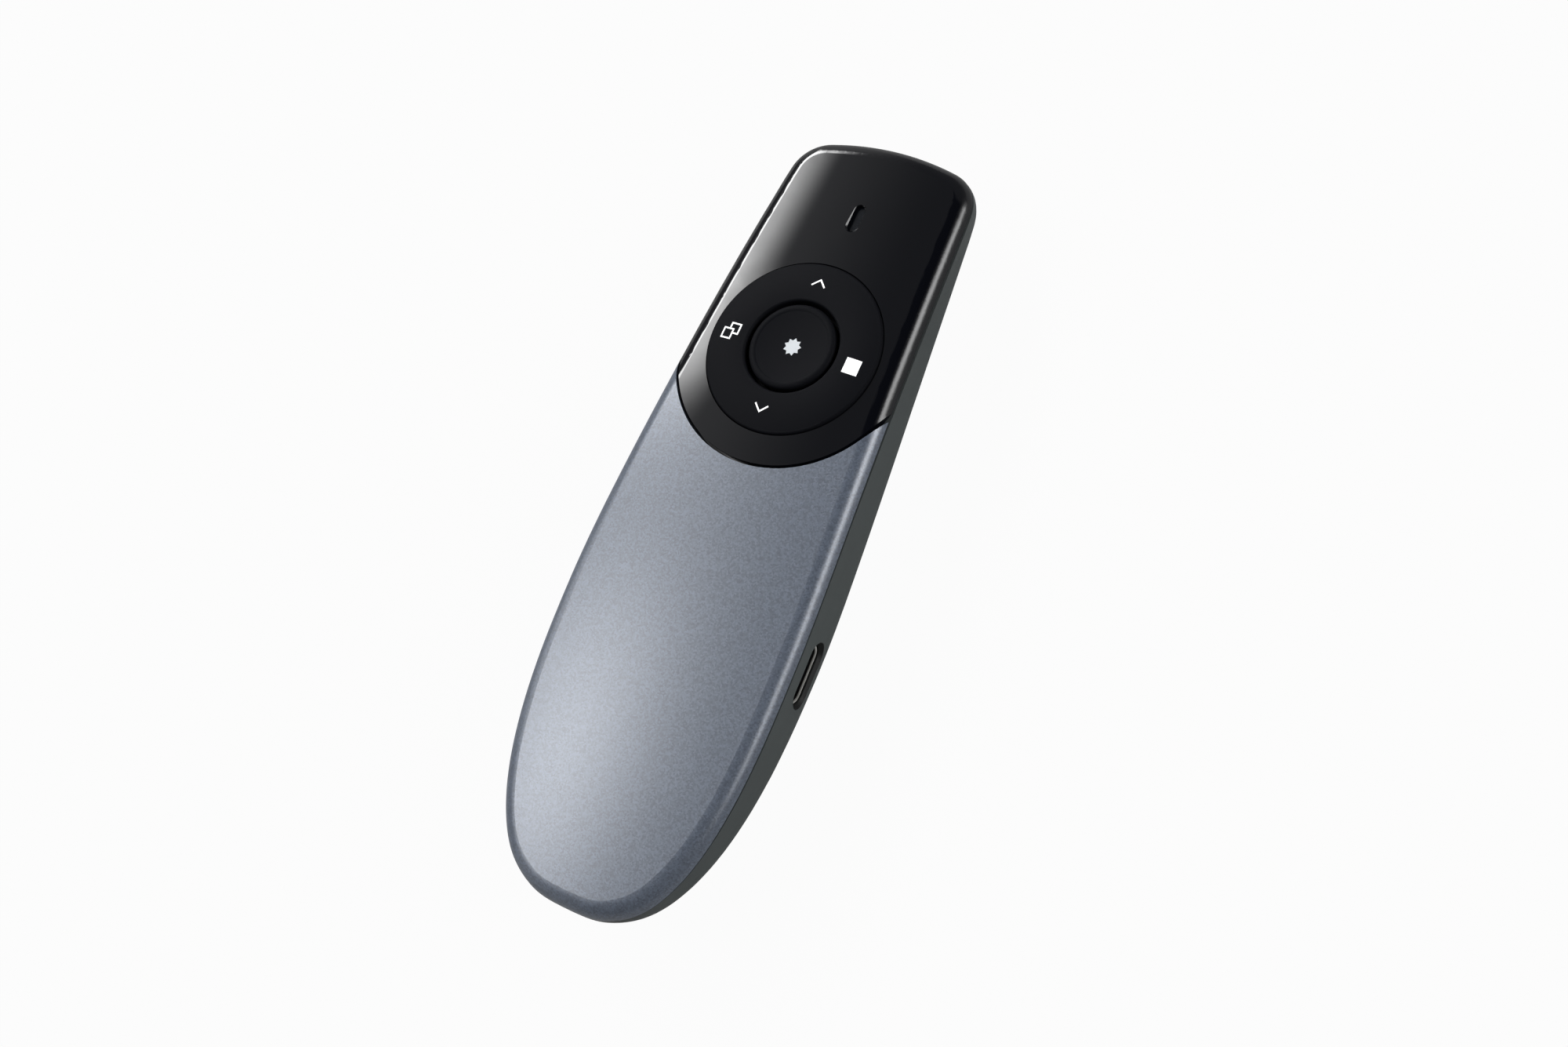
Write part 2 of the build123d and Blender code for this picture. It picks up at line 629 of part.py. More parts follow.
def receiver_cuts():
    """Mouth in the tail for the receiver's cap, and the magnet's pocket in the end stop."""
    width = 2 * (RECEIVER_HALF_WIDTH + RECEIVER_GAP)
    mouth = Box(width, RECEIVER_CAP_DEPTH, RECEIVER_CAP_DEPTH, align=BEHIND_BOTTOM)
    return [
        Pos(0, RECEIVER_CAP_FRONT_Y + RECEIVER_GAP, RECEIVER_FLOOR_Z - RECEIVER_GAP) * mouth,
        along_y(MAGNET_R, BAY_BACK_Y, BAY_BACK_Y + MAGNET_THICK, RECEIVER_Z),
    ]


def make_bottom_case():
    room = hull(CASE_WALL, CASE_FLOOR) - case_ribs()
    cuts = screw_cuts() + laser_cuts() + socket_cuts() + [switch_window()] + receiver_cuts()
    return (HULL_SPACE & BELOW_PARTING) - [room] - cuts


# ---- Controls, built in the deck frame ---------------------------------------------

def make_nav_ring():
    lip_corner = (RING_BORE_R + 0.3 * RING_LIP_R, RING_CREST_Z - 0.3 * RING_LIP_R)
    crest = (RING_BORE_R + RING_LIP_R, RING_CREST_Z)
    shoulder = (RING_R - RING_EDGE, RING_EDGE_TOP_Z)
    profile = Curve() + [
        Line((RING_BORE_R, RING_PLATE_Z), (RING_BORE_R, RING_LIP_Z)),
        ThreePointArc((RING_BORE_R, RING_LIP_Z), lip_corner, crest),
        ThreePointArc(crest, RING_CREST_MID, shoulder),
        ThreePointArc(shoulder, RING_EDGE_MID, (RING_R, RING_EDGE_LOW_Z)),
        Polyline((RING_R, RING_EDGE_LOW_Z), (RING_R, RING_FLANGE_TOP_Z), (RING_FLANGE_R, RING_FLANGE_TOP_Z),
                 (RING_FLANGE_R, RING_FLANGE_LOW_Z), (RING_WALL_R, RING_FLANGE_LOW_Z),
                 (RING_WALL_R, RING_PLATE_Z), (RING_BORE_R, RING_PLATE_Z)),
    ]
    ring = revolve(Plane.XZ * make_face(profile), Axis.Z)
    for side in (-1, 1):
        ring += Pos(0, side * LUG_Y, RING_PLATE_Z + BITE) * Box(*LUG_SIZE, align=TOP)
    for turn in range(0, 360, 90):
        ring += Rot(0, 0, turn) * boss((ICON_R, 0), NUB_R, PRESS_Z, RING_PLATE_Z + BITE)
    for side in (-1, 1):
        ring -= Pos(0, side * LUG_Y, PIVOT_Z) * Rot(90, 0, 0) * Cylinder(PIN_R + SLIDING_FIT, LUG_HOLE_LENGTH)
    return on_deck(ring)


def make_rocker_cradle():
    """Gimbal frame: pins along X turn in the guide, pins along Y carry the ring's lugs."""
    half = CRADLE_THICK / 2
    pin = Cylinder(PIN_R, PIN_LENGTH)
    cradle = ring_of(CRADLE_R, CRADLE_BORE_R, PIVOT_Z - half, PIVOT_Z + half)
    for side in (-1, 1):
        cradle += Pos(0, side * (CRADLE_R + PIN_OFFSET), PIVOT_Z) * Rot(90, 0, 0) * pin
        cradle += Pos(side * (CRADLE_BORE_R - PIN_OFFSET), 0, PIVOT_Z) * Rot(0, 90, 0) * pin
    return on_deck(cradle)


def make_button_guide():
    web_top = GUIDE_WEB_Z + GUIDE_WEB_THICK
    guide = ring_of(GUIDE_R, GUIDE_BORE_R, BOARD_TOP_Z, GUIDE_TOP_Z)
    guide += ring_of(GUIDE_R - GUIDE_WEB_BITE, STEM_R + SLIDING_FIT, GUIDE_WEB_Z, web_top)
    for side in (-1, 1):
        pin_hole = Cylinder(PIN_R + SLIDING_FIT, GUIDE_HOLE_LENGTH)
        guide -= Pos(side * GUIDE_R, 0, PIVOT_Z) * Rot(0, 90, 0) * pin_hole
        guide += boss((0, side * GUIDE_PEG_Y), GUIDE_PEG_R, BOARD_LOW_Z - GUIDE_PEG_PROUD, BOARD_TOP_Z)
    return on_deck(guide)


def make_laser_button():
    dish_z = BUTTON_RIM_Z - BUTTON_DISH
    rim_z = BUTTON_RIM_Z - BUTTON_RIM_FALL
    rim_in = (BUTTON_RIM_IN_R, rim_z)
    rim_out = (BUTTON_RIM_OUT_R, rim_z)
    profile = Curve() + [
        Line((0, PRESS_Z), (0, dish_z)),
        ThreePointArc((0, dish_z), (BUTTON_DISH_MID[0], dish_z + BUTTON_DISH_MID[1]), rim_in),
        ThreePointArc(rim_in, (BUTTON_RIM_MID_R, BUTTON_RIM_Z), rim_out),
        ThreePointArc(rim_out, BUTTON_SIDE_MID, (BUTTON_R, 0.0)),
        Polyline((BUTTON_R, 0.0), (BUTTON_R, BUTTON_FLANGE_TOP_Z), (BUTTON_FLANGE_R, BUTTON_FLANGE_TOP_Z),
                 (BUTTON_FLANGE_R, BUTTON_FLANGE_LOW_Z), (BUTTON_WALL_R, BUTTON_FLANGE_LOW_Z),
                 (BUTTON_WALL_R, BUTTON_PLATE_Z), (STEM_R, BUTTON_PLATE_Z), (STEM_R, PRESS_Z), (0, PRESS_Z)),
    ]
    return on_deck(revolve(Plane.XZ * make_face(profile), Axis.Z))


def spherical_cap(radius, height):
    """Solid cap cut from a ball, standing on its flat side."""
    ball_r = (radius ** 2 + height ** 2) / (2 * height)
    return Pos(0, 0, height - ball_r) * Sphere(ball_r) & Cylinder(radius + OVERCUT, 2 * height, align=BOTTOM)


def make_snap_dome(x, y):
    """Thin metal cap on the board that clicks when it is pressed flat."""
    dome = spherical_cap(DOME_R, DOME_HEIGHT) - spherical_cap(DOME_R - DOME_WALL, DOME_HEIGHT - DOME_WALL)
    return on_deck(Pos(x, y, BOARD_TOP_Z) * dome)


def make_led_light_pipe():
    surface_z = -LED_Y ** 2 / (2 * TOP_ARCH_R)
    low_z = BOARD_TOP_Z + LED_SIZE[2] + LIGHT_PIPE_LIGHT_GAP
    flange_top = surface_z - COVER_WALL - LIGHT_PIPE_ROOF_GAP
    body = slot_bar(LED_SLOT_LENGTH - 2 * SLIDING_FIT, LED_SLOT_WIDTH - 2 * SLIDING_FIT,
                    low_z, surface_z - LIGHT_PIPE_SINK)
    flange = slot_bar(LED_SLOT_LENGTH + 2 * LIGHT_PIPE_FLANGE, LED_SLOT_WIDTH + 2 * LIGHT_PIPE_FLANGE,
                      flange_top - LIGHT_PIPE_FLANGE_THICK, flange_top)
    return on_deck(Pos(0, LED_Y, 0) * (body + flange))


def make_main_board():
    back = Rectangle(2 * BOARD_HALF_WIDTH, BOARD_SHOULDER_Y - BOARD_BACK_Y, align=(Align.CENTER, Align.MIN))
    tab = Rectangle(2 * BOARD_TAB_HALF_WIDTH, BOARD_FRONT_Y - BOARD_BACK_Y, align=(Align.CENTER, Align.MIN))
    outline = Pos(0, BOARD_BACK_Y) * (back + tab)
    outline = fillet(outline.vertices(), BOARD_CORNER_R)
    board = Pos(0, 0, BOARD_LOW_Z) * extrude(outline, BOARD_THICK)
    for spot in BOARD_SCREW_SPOTS:
        board -= boss(spot, BOARD_SCREW_R + SCREW_GAP, BOARD_LOW_Z - OVERCUT, 0)
    for side in (-1, 1):
        board -= boss((0, side * GUIDE_PEG_Y), GUIDE_PEG_R + SLIDING_FIT, BOARD_LOW_Z - OVERCUT, 0)
    return on_deck(board)


def make_chip(spot, size, board_z, below=False):
    """Square-edged package on or under a board, with its free edges chamfered."""
    body = Pos(spot[0], spot[1], board_z) * Box(*size, align=TOP if below else BOTTOM)
    return chamfer(body.edges().group_by(Axis.Z)[0 if below else -1], CHIP_CHAMFER)


def make_screw(spot, low_z, shank_r, length, head_r, head):
    """Pan-head screw that points up: head below low_z, shank above it."""
    screw = boss(spot, shank_r, low_z - SCREW_HEAD_BITE, low_z + length)
    screw += boss(spot, head_r, low_z - head, low_z)
    rim = screw.edges().group_by(Axis.Z)[0]
    screw = chamfer(rim, SCREW_HEAD_CHAMFER_SHARE * head)
    long_side, short_side = (share * head_r for share in SCREW_CROSS_SHARE)
    cross = Box(long_side, short_side, head) + Box(short_side, long_side, head)
    return screw - Pos(spot[0], spot[1], low_z - head) * cross


def make_case_screws():
    screws = []
    length = CASE_SCREW_TOP_Z - CASE_SCREW_SEAT_Z
    for spot in CASE_SCREW_SPOTS:
        screws.append(make_screw(spot, CASE_SCREW_SEAT_Z, CASE_SCREW_R, length,
                                 CASE_SCREW_HEAD_R, CASE_SCREW_HEAD))
    return Compound(children=screws)


def make_board_screws():
    screws = []
    for spot in BOARD_SCREW_SPOTS:
        screws.append(make_screw(spot, BOARD_LOW_Z, BOARD_SCREW_R, BOARD_SCREW_LENGTH,
                                 BOARD_SCREW_HEAD_R, BOARD_SCREW_HEAD))
    return on_deck(Compound(children=screws))


# ---- Charging socket and power switch ----------------------------------------------

USB_MOUTH_X = WALL_X - USB_SINK
USB_BACK_X = USB_MOUTH_X - USB_SHELL_DEPTH


def make_usb_c_shell():
    inner_length = USB_SHELL_LENGTH - 2 * USB_SHELL_WALL
    inner_height = USB_SHELL_HEIGHT - 2 * USB_SHELL_WALL
    shell = socket_bar(USB_SHELL_LENGTH, USB_SHELL_HEIGHT, USB_BACK_X, USB_MOUTH_X)
    shell -= socket_bar(inner_length, inner_height, USB_BACK_X - OVERCUT, USB_MOUTH_X + OVERCUT)
    leg_height = USB_Z - CHARGE_BOARD_TOP_Z - USB_SHELL_HEIGHT / 2 + USB_LEG_BITE
    for back in USB_LEG_BACK:
        for side in (-1, 1):
            place = Pos(USB_BACK_X + back, USB_Y + side * USB_LEG_Y, CHARGE_BOARD_TOP_Z)
            shell += place * Box(*USB_LEG, leg_height, align=BOTTOM)
    return shell


def make_usb_c_tongue():
    gap = 2 * (USB_SHELL_WALL + USB_TONGUE_FIT)
    front_x = USB_BACK_X + USB_TONGUE_BASE
    base = socket_bar(USB_SHELL_LENGTH - gap, USB_SHELL_HEIGHT - gap, USB_BACK_X, front_x)
    length, width, thick = USB_TONGUE
    blade = Box(length + USB_TONGUE_BITE, width, thick, align=(Align.MIN, Align.CENTER, Align.CENTER))
    return base + at_socket(front_x - USB_TONGUE_BITE) * blade


def make_usb_c_contacts():
    """Two rows of gold fingers on the faces of the socket's tongue."""
    fingers = []
    thick = USB_CONTACT[2]
    for side in (-1, 1):
        for number in range(USB_CONTACTS):
            y = (number - (USB_CONTACTS - 1) / 2) * USB_CONTACT_PITCH
            place = Pos(USB_TONGUE_BITE, y, side * (USB_TONGUE[2] + thick) / 2)
            finger = Box(*USB_CONTACT, align=(Align.MIN, Align.CENTER, Align.CENTER))
            fingers.append(at_socket(USB_BACK_X + USB_TONGUE_BASE) * place * finger)
    return Compound(children=fingers)


def make_charge_board():
    width = CHARGE_BOARD_FRONT_Y - CHARGE_BOARD_BACK_Y
    outline = Rectangle(2 * CHARGE_BOARD_HALF_WIDTH, width, align=(Align.CENTER, Align.MIN))
    outline = fillet((Pos(0, CHARGE_BOARD_BACK_Y) * outline).vertices(), BOARD_CORNER_R)
    low_z = CHARGE_BOARD_TOP_Z - CHARGE_BOARD_THICK
    board = Pos(0, 0, low_z) * extrude(outline, CHARGE_BOARD_THICK)
    for spot in CHARGE_POST_SPOTS:
        board -= boss(spot, CHARGE_PEG_R + SLIDING_FIT, low_z - OVERCUT, CHARGE_BOARD_TOP_Z + OVERCUT)
    return board


def make_power_switch_body():
    body = Pos(SWITCH_BODY_X, SWITCH_Y, CHARGE_BOARD_TOP_Z) * Box(*SWITCH_BODY, align=BOTTOM)
    body = chamfer(body.edges().filter_by(Axis.Z), SWITCH_BODY_CHAMFER)
    return body - Pos(SWITCH_BODY_X - SWITCH_BODY[0] / 2, SWITCH_Y, SWITCH_Z) * Box(*SWITCH_SLOT)


def make_power_switch_knob():
    """Grooved knob in its off place, at the tail end of the window, on its inner plate."""
    plate_z = KNOB_PROUD + KNOB_DEPTH - BITE
    knob = slot_bar(KNOB_LENGTH, KNOB_HEIGHT, 0, KNOB_PROUD + KNOB_DEPTH)
    knob = chamfer(knob.faces().sort_by(Axis.Z)[0].edges(), KNOB_CHAMFER)
    for groove in range(KNOB_GROOVES):
        y = (groove - (KNOB_GROOVES - 1) / 2) * KNOB_GROOVE_PITCH
        knob -= Pos(0, y, 0) * Box(KNOB_HEIGHT + OVERCUT, *KNOB_GROOVE)
    knob += Pos(0, 0, plate_z) * Box(*KNOB_PLATE, align=BOTTOM)
    knob += Pos(0, 0, KNOB_PROUD + KNOB_DEPTH + KNOB_ARM_START) * Box(*KNOB_ARM, align=BOTTOM)
    rest_y = SWITCH_Y - SWITCH_TRAVEL / 2
    return Pos(-(WALL_X + KNOB_PROUD), rest_y, SWITCH_Z) * Rot(0, 90, 0) * knob


# ---- Laser module ------------------------------------------------------------------

def along_y(radius, start_y, end_y, z=LASER_Z):
    """Round bar along Y, on the laser's axis unless another height is given."""
    return Pos(0, start_y, z) * Rot(-90, 0, 0) * Cylinder(radius, end_y - start_y, align=BOTTOM)


def make_laser_barrel():
    back_y = LASER_BARREL_BACK_Y
    seat_y = back_y + LASER_DIODE_SINK + LASER_DIODE_FLANGE
    barrel = along_y(LASER_BARREL_R, back_y, LASER_BARREL_FRONT_Y)
    barrel -= along_y(LASER_BORE_R, back_y - OVERCUT, LASER_BARREL_FRONT_Y + OVERCUT)
    barrel -= along_y(LASER_DIODE_R + SEATED_FIT, back_y - OVERCUT, seat_y)
    ends = barrel.edges().filter_by(GeomType.CIRCLE)
    return chamfer(ends.filter_by(lambda edge: edge.radius > LASER_DIODE_R + BITE), LASER_BARREL_CHAMFER)


def make_laser_diode():
    flange_y = LASER_BARREL_BACK_Y + LASER_DIODE_SINK
    seat_y = flange_y + LASER_DIODE_FLANGE
    diode = along_y(LASER_DIODE_R, flange_y, seat_y)
    diode += along_y(LASER_DIODE_CAN_R, seat_y - BITE, seat_y + LASER_DIODE_CAN)
    for turn in LASER_PIN_TURNS:
        x = LASER_PIN_CIRCLE_R * math.cos(math.radians(turn))
        z = LASER_PIN_CIRCLE_R * math.sin(math.radians(turn))
        diode += Pos(x, 0, z) * along_y(LASER_PIN_R, flange_y - LASER_PIN_LENGTH, flange_y + BITE)
    return diode


def make_laser_lens():
    front_y = LASER_BARREL_FRONT_Y - LASER_LENS_SINK
    lens = along_y(LASER_BORE_R - SEATED_FIT, front_y - LASER_LENS_THICK, front_y)
    return chamfer(lens.edges().filter_by(GeomType.CIRCLE), LASER_LENS_CHAMFER)


def make_laser_window():
    return along_y(LASER_WINDOW_R - SEATED_FIT, LASER_WINDOW_BACK_Y, LASER_BEZEL_Y)


def make_laser_bezel():
    """Ring that holds the window and follows the curve of the nose."""
    nose_y = NOSE_Y + OVERCUT
    bezel = along_y(LASER_BEZEL_R - SEATED_FIT, LASER_BEZEL_Y, nose_y)
    bezel -= along_y(LASER_BEZEL_BORE_R, LASER_BEZEL_Y - OVERCUT, nose_y + OVERCUT)
    return bezel & HULL_SPACE


# ---- Receiver ----------------------------------------------------------------------

def make_receiver_cap():
    """End cap that carries on the curve of the tail, with a nick for a fingernail."""
    parting_z = ARCH_CENTRE_Z + math.sqrt(PARTING_R ** 2 - TAIL_Y ** 2)
    height = parting_z - RECEIVER_TOP_GAP - RECEIVER_FLOOR_Z
    block = Box(2 * RECEIVER_HALF_WIDTH, RECEIVER_CAP_DEPTH, height, align=BEHIND_BOTTOM)
    cap = Pos(0, RECEIVER_CAP_FRONT_Y, RECEIVER_FLOOR_Z) * block & HULL_SPACE
    nick = Box(2 * NAIL_NOTCH_HALF_WIDTH, FAR, FAR, align=BEHIND_BOTTOM)
    return cap - Pos(0, TAIL_Y + NAIL_NOTCH_DEPTH, RECEIVER_Z + NAIL_NOTCH_LOW) * nick


def make_receiver_shell():
    """Plug shell of the receiver, with the four latch windows of its kind."""
    width, length, height = RECEIVER_SHELL
    inner = (width - 2 * RECEIVER_SHELL_WALL, length + 2 * OVERCUT, height - 2 * RECEIVER_SHELL_WALL)
    place = Pos(0, RECEIVER_CAP_FRONT_Y, RECEIVER_Z)
    shell = place * Box(width, length, height, align=AHEAD)
    shell = fillet(shell.edges().filter_by(Axis.Y), RECEIVER_SHELL_CORNER_R)
    shell -= place * Pos(0, -OVERCUT, 0) * Box(*inner, align=AHEAD)
    for side in (-1, 1):
        for x in (-RECEIVER_WINDOW_X, RECEIVER_WINDOW_X):
            window = Box(*RECEIVER_WINDOW, 2 * OVERCUT)
            shell -= place * Pos(x, RECEIVER_WINDOW_Y, side * height / 2) * window
    return shell


def make_receiver_tongue():
    width, length, height = RECEIVER_SHELL
    inner_width = width - 2 * (RECEIVER_SHELL_WALL + RECEIVER_TONGUE_FIT)
    block = Box(inner_width, length - RECEIVER_TONGUE_SHORT, RECEIVER_TONGUE_THICK, align=AHEAD_BOTTOM)
    return Pos(0, RECEIVER_CAP_FRONT_Y, RECEIVER_TONGUE_LOW_Z) * block


def make_receiver_contacts():
    """Four gold contacts on the free face of the receiver's tongue."""
    front_y = RECEIVER_CAP_FRONT_Y + RECEIVER_SHELL[1] - RECEIVER_TONGUE_SHORT - RECEIVER_CONTACT_SHORT
    start_y = front_y - RECEIVER_CONTACT[1]
    contact = Box(*RECEIVER_CONTACT, align=AHEAD_TOP)
    return Compound(children=[Pos(x, start_y, RECEIVER_TONGUE_LOW_Z) * contact for x in RECEIVER_CONTACT_X])


def make_bay_magnet():
    return along_y(MAGNET_R - SEATED_FIT, BAY_BACK_Y, BAY_BACK_Y + MAGNET_THICK, RECEIVER_Z)


RECEIVER_INNER_TOP_Z = RECEIVER_Z + RECEIVER_SHELL[2] / 2 - RECEIVER_SHELL_WALL
RECEIVER_TONGUE_LOW_Z = RECEIVER_INNER_TOP_Z - RECEIVER_TONGUE_FIT - RECEIVER_TONGUE_THICK


# ---- Battery and its wiring ----------------------------------------------------------

BATTERY_END_Y = BATTERY_Y - BATTERY_SIZE[1] / 2


def make_battery():
    cell = Pos(0, BATTERY_Y, CASE_FLOOR + BATTERY_PAD[2]) * Box(*BATTERY_SIZE, align=BOTTOM)
    return fillet(cell.edges().filter_by(Axis.Y), BATTERY_EDGE_R)


def make_battery_pad():
    return Pos(0, BATTERY_Y, CASE_FLOOR) * Box(*BATTERY_PAD, align=BOTTOM)


def make_battery_lead(x):
    """One insulated lead from the cell, round the board edge, to the plug."""
    points = [
        (x, BATTERY_END_Y, LEAD_LOW_Z),
        (x, BATTERY_END_Y - LEAD_STANDOFF, LEAD_LOW_Z),
        (x, BATTERY_END_Y - LEAD_STANDOFF, LEAD_HIGH_Z),
        (x, BATTERY_END_Y - LEAD_REACH, LEAD_HIGH_Z),
    ]
    path = FilletPolyline(*points, radius=LEAD_BEND_R)
    return sweep(Plane(origin=points[0], z_dir=(0, -1, 0)) * Circle(LEAD_R), path)


def make_battery_plug():
    middle_y = BATTERY_END_Y - LEAD_REACH - PLUG_SIZE[1] / 2
    plug = Pos(0, middle_y, CHARGE_BOARD_TOP_Z) * Box(*PLUG_SIZE, align=BOTTOM)
    return chamfer(plug.edges().filter_by(Axis.Z), PLUG_CHAMFER)


def make_board_ribbon():
    """Flat cable that climbs from the charging board to the main board."""
    gap = RIBBON_GAP + RIBBON_THICK / 2
    low_z = CHARGE_BOARD_TOP_Z + gap
    points = [(RIBBON_X, CHARGE_BOARD_FRONT_Y + run, low_z) for run in (-RIBBON_LAP, RIBBON_RISE)]
    for run in RIBBON_UNDER:
        spot = DECK * Pos(0, BOARD_BACK_Y + run, BOARD_LOW_Z - gap)
        points.append((RIBBON_X, spot.position.Y, spot.position.Z))
    path = FilletPolyline(*points, radius=RIBBON_BEND_R)
    start = Plane(origin=points[0], x_dir=(1, 0, 0), z_dir=(0, 1, 0))
    return sweep(start * Rectangle(RIBBON_WIDTH, RIBBON_THICK), path)


# ---- Parts ---------------------------------------------------------------------------

PARTS = {
    "bottom_case": make_bottom_case(),
    "control_cover": make_control_cover(),
    "grip_cover": make_grip_cover(),
    "nav_ring": make_nav_ring(),
    "rocker_cradle": make_rocker_cradle(),
    "laser_button": make_laser_button(),
    "button_guide": make_button_guide(),
    "snap_dome_center": make_snap_dome(0, 0),
    "snap_dome_up": make_snap_dome(0, ICON_R),
    "snap_dome_down": make_snap_dome(0, -ICON_R),
    "snap_dome_left": make_snap_dome(-ICON_R, 0),
    "snap_dome_right": make_snap_dome(ICON_R, 0),
    "led_light_pipe": make_led_light_pipe(),
    "indicator_led": on_deck(make_chip((0, LED_Y), LED_SIZE, BOARD_TOP_Z)),
    "main_board": make_main_board(),
    "radio_chip": on_deck(make_chip(RADIO_CHIP_SPOT, RADIO_CHIP_SIZE, BOARD_LOW_Z, below=True)),
    "crystal_can": on_deck(make_chip(CRYSTAL_SPOT, CRYSTAL_SIZE, BOARD_LOW_Z, below=True)),
    "board_screws": make_board_screws(),
    "charge_board": make_charge_board(),
    "charger_chip": make_chip(CHARGER_CHIP_SPOT, CHARGER_CHIP_SIZE, CHARGE_BOARD_TOP_Z),
    "usb_c_shell": make_usb_c_shell(),
    "usb_c_tongue": make_usb_c_tongue(),
    "usb_c_contacts": make_usb_c_contacts(),
    "power_switch_body": make_power_switch_body(),
    "power_switch_knob": make_power_switch_knob(),
    "battery": make_battery(),
    "battery_pad": make_battery_pad(),
    "battery_lead_red": make_battery_lead(LEAD_X),
    "battery_lead_black": make_battery_lead(-LEAD_X),
    "battery_plug": make_battery_plug(),
    "board_ribbon": make_board_ribbon(),
    "laser_barrel": make_laser_barrel(),
    "laser_diode": make_laser_diode(),
    "laser_lens": make_laser_lens(),
    "laser_window": make_laser_window(),
    "laser_bezel": make_laser_bezel(),
    "receiver_cap": make_receiver_cap(),
    "receiver_shell": make_receiver_shell(),
    "receiver_tongue": make_receiver_tongue(),
    "receiver_contacts": make_receiver_contacts(),
    "bay_magnet": make_bay_magnet(),
    "case_screws": make_case_screws(),
}

os.makedirs("parts", exist_ok=True)
for name, shape in PARTS.items():
    export_step(shape, f"parts/{name}.step")
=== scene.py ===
"""Wireless presentation clicker: finishes, printed icons, small parts and studio."""

import math

import bpy
from mathutils import Euler, Matrix, Vector


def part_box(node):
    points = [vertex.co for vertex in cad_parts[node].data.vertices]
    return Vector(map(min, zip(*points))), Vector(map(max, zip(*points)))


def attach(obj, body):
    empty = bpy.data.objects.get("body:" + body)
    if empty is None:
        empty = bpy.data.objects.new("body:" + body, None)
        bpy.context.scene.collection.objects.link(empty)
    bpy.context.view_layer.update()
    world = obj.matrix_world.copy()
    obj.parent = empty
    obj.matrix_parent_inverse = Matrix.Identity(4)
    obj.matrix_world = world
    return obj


bl_info = {
    "name": "Presentation clicker",
    "version": (1, 0, 0),
    "blender": (4, 5, 0),
    "location": "View3D > Sidebar > Clicker",
    "description": "Dresses the presentation clicker and sets its studio",
    "category": "Object",
}

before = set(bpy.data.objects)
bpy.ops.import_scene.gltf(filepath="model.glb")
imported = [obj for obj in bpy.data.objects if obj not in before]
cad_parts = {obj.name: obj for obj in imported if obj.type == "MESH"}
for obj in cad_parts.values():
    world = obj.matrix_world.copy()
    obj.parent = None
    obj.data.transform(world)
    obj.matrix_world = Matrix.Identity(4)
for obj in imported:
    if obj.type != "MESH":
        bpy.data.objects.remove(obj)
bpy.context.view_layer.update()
MM = 0.001

# Deck frame: its origin in the middle of the navigation ring, its Z square to the top
TOP_ARCH_R = 482.65 * MM
RING_Y = 25.7 * MM
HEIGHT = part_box("grip_cover")[1].z
DECK_TILT = math.asin(RING_Y / TOP_ARCH_R)
RING_Z = HEIGHT - TOP_ARCH_R + TOP_ARCH_R * math.cos(DECK_TILT)
DECK = Matrix.Translation((0, RING_Y, RING_Z)) @ Matrix.Rotation(-DECK_TILT, 4, "X")

# Printed icons: their places on the deck, the star's shape, and how they are laid on the surface
ICON_R = 10.4 * MM
CHEVRON_SHIFT = Vector((-0.25, 0.05)) * MM
SQUARES_LEVEL = -0.4 * MM
STAR_POINTS = 9
STAR_VALLEY = 0.72
DROP_HEIGHT = 3 * MM
INK_SINK = 0.01 * MM

# Sizes of surface features, in millimetres: flakes of the paint, mouth and rim of the socket, which bound
# the painted shade there
FLAKE_SIZE = 0.24
MOUTH_STRAIGHT = 2.87
MOUTH_RADIUS = 2.25
MOUTH_EDGE = 0.1
MOUTH_BACK = 15.0
RIM_DEPTH = 0.12


# ---- Shader expressions ---------------------------------------------------------------

class Signal:
    """A node's output that takes part in Python arithmetic by adding Math nodes."""

    def __init__(self, finish, socket):
        self.finish = finish
        self.socket = socket

    def maths(self, operation, *values):
        return self.finish.node("ShaderNodeMath", {"operation": operation}, dict(enumerate(values)))

    def __add__(self, other):
        return self.maths("ADD", self, other)

    def __radd__(self, other):
        return self.maths("ADD", other, self)

    def __sub__(self, other):
        return self.maths("SUBTRACT", self, other)

    def __rsub__(self, other):
        return self.maths("SUBTRACT", other, self)

    def __mul__(self, other):
        return self.maths("MULTIPLY", self, other)

    def __rmul__(self, other):
        return self.maths("MULTIPLY", other, self)

    def __pow__(self, other):
        return self.maths("POWER", self, other)

    def __abs__(self):
        return self.maths("ABSOLUTE", self)

    def __lt__(self, other):
        return self.maths("LESS_THAN", self, other)

    def __gt__(self, other):
        return self.maths("GREATER_THAN", self, other)

    def fraction(self):
        return self.maths("FRACT", self)

    def wave(self):
        return self.maths("SINE", self)

    def or_more(self, other):
        return self.maths("MAXIMUM", self, other)

    def ramp(self, low, high):
        """0 at low, 1 at high, smooth between."""
        settings = {"interpolation_type": "SMOOTHSTEP"}
        values = {"Value": self, "From Min": low, "From Max": high}
        return self.finish.node("ShaderNodeMapRange", settings, values)

    def band(self, rise, fall):
        """1 between a rise and a fall, 0 before and after them."""
        return self.ramp(*rise) * (1 - self.ramp(*fall))


class Recipe:
    """A shader tree with one method that adds any node."""

    def __init__(self, tree):
        self.tree = tree

    def node(self, kind, settings=None, values=None, output=0):
        """Adds a node, applies its settings, then fills or links its sockets."""
        node = self.tree.nodes.new(kind)
        for name, value in (settings or {}).items():
            setattr(node, name, value)
        for name, value in (values or {}).items():
            if isinstance(value, Signal):
                self.tree.links.new(value.socket, node.inputs[name])
            else:
                node.inputs[name].default_value = value
        return Signal(self, node.outputs[output])

    def split(self, vector):
        """The three numbers of a vector."""
        outputs = self.node("ShaderNodeSeparateXYZ", values={0: vector}).socket.node.outputs
        return [Signal(self, outputs[axis]) for axis in range(3)]


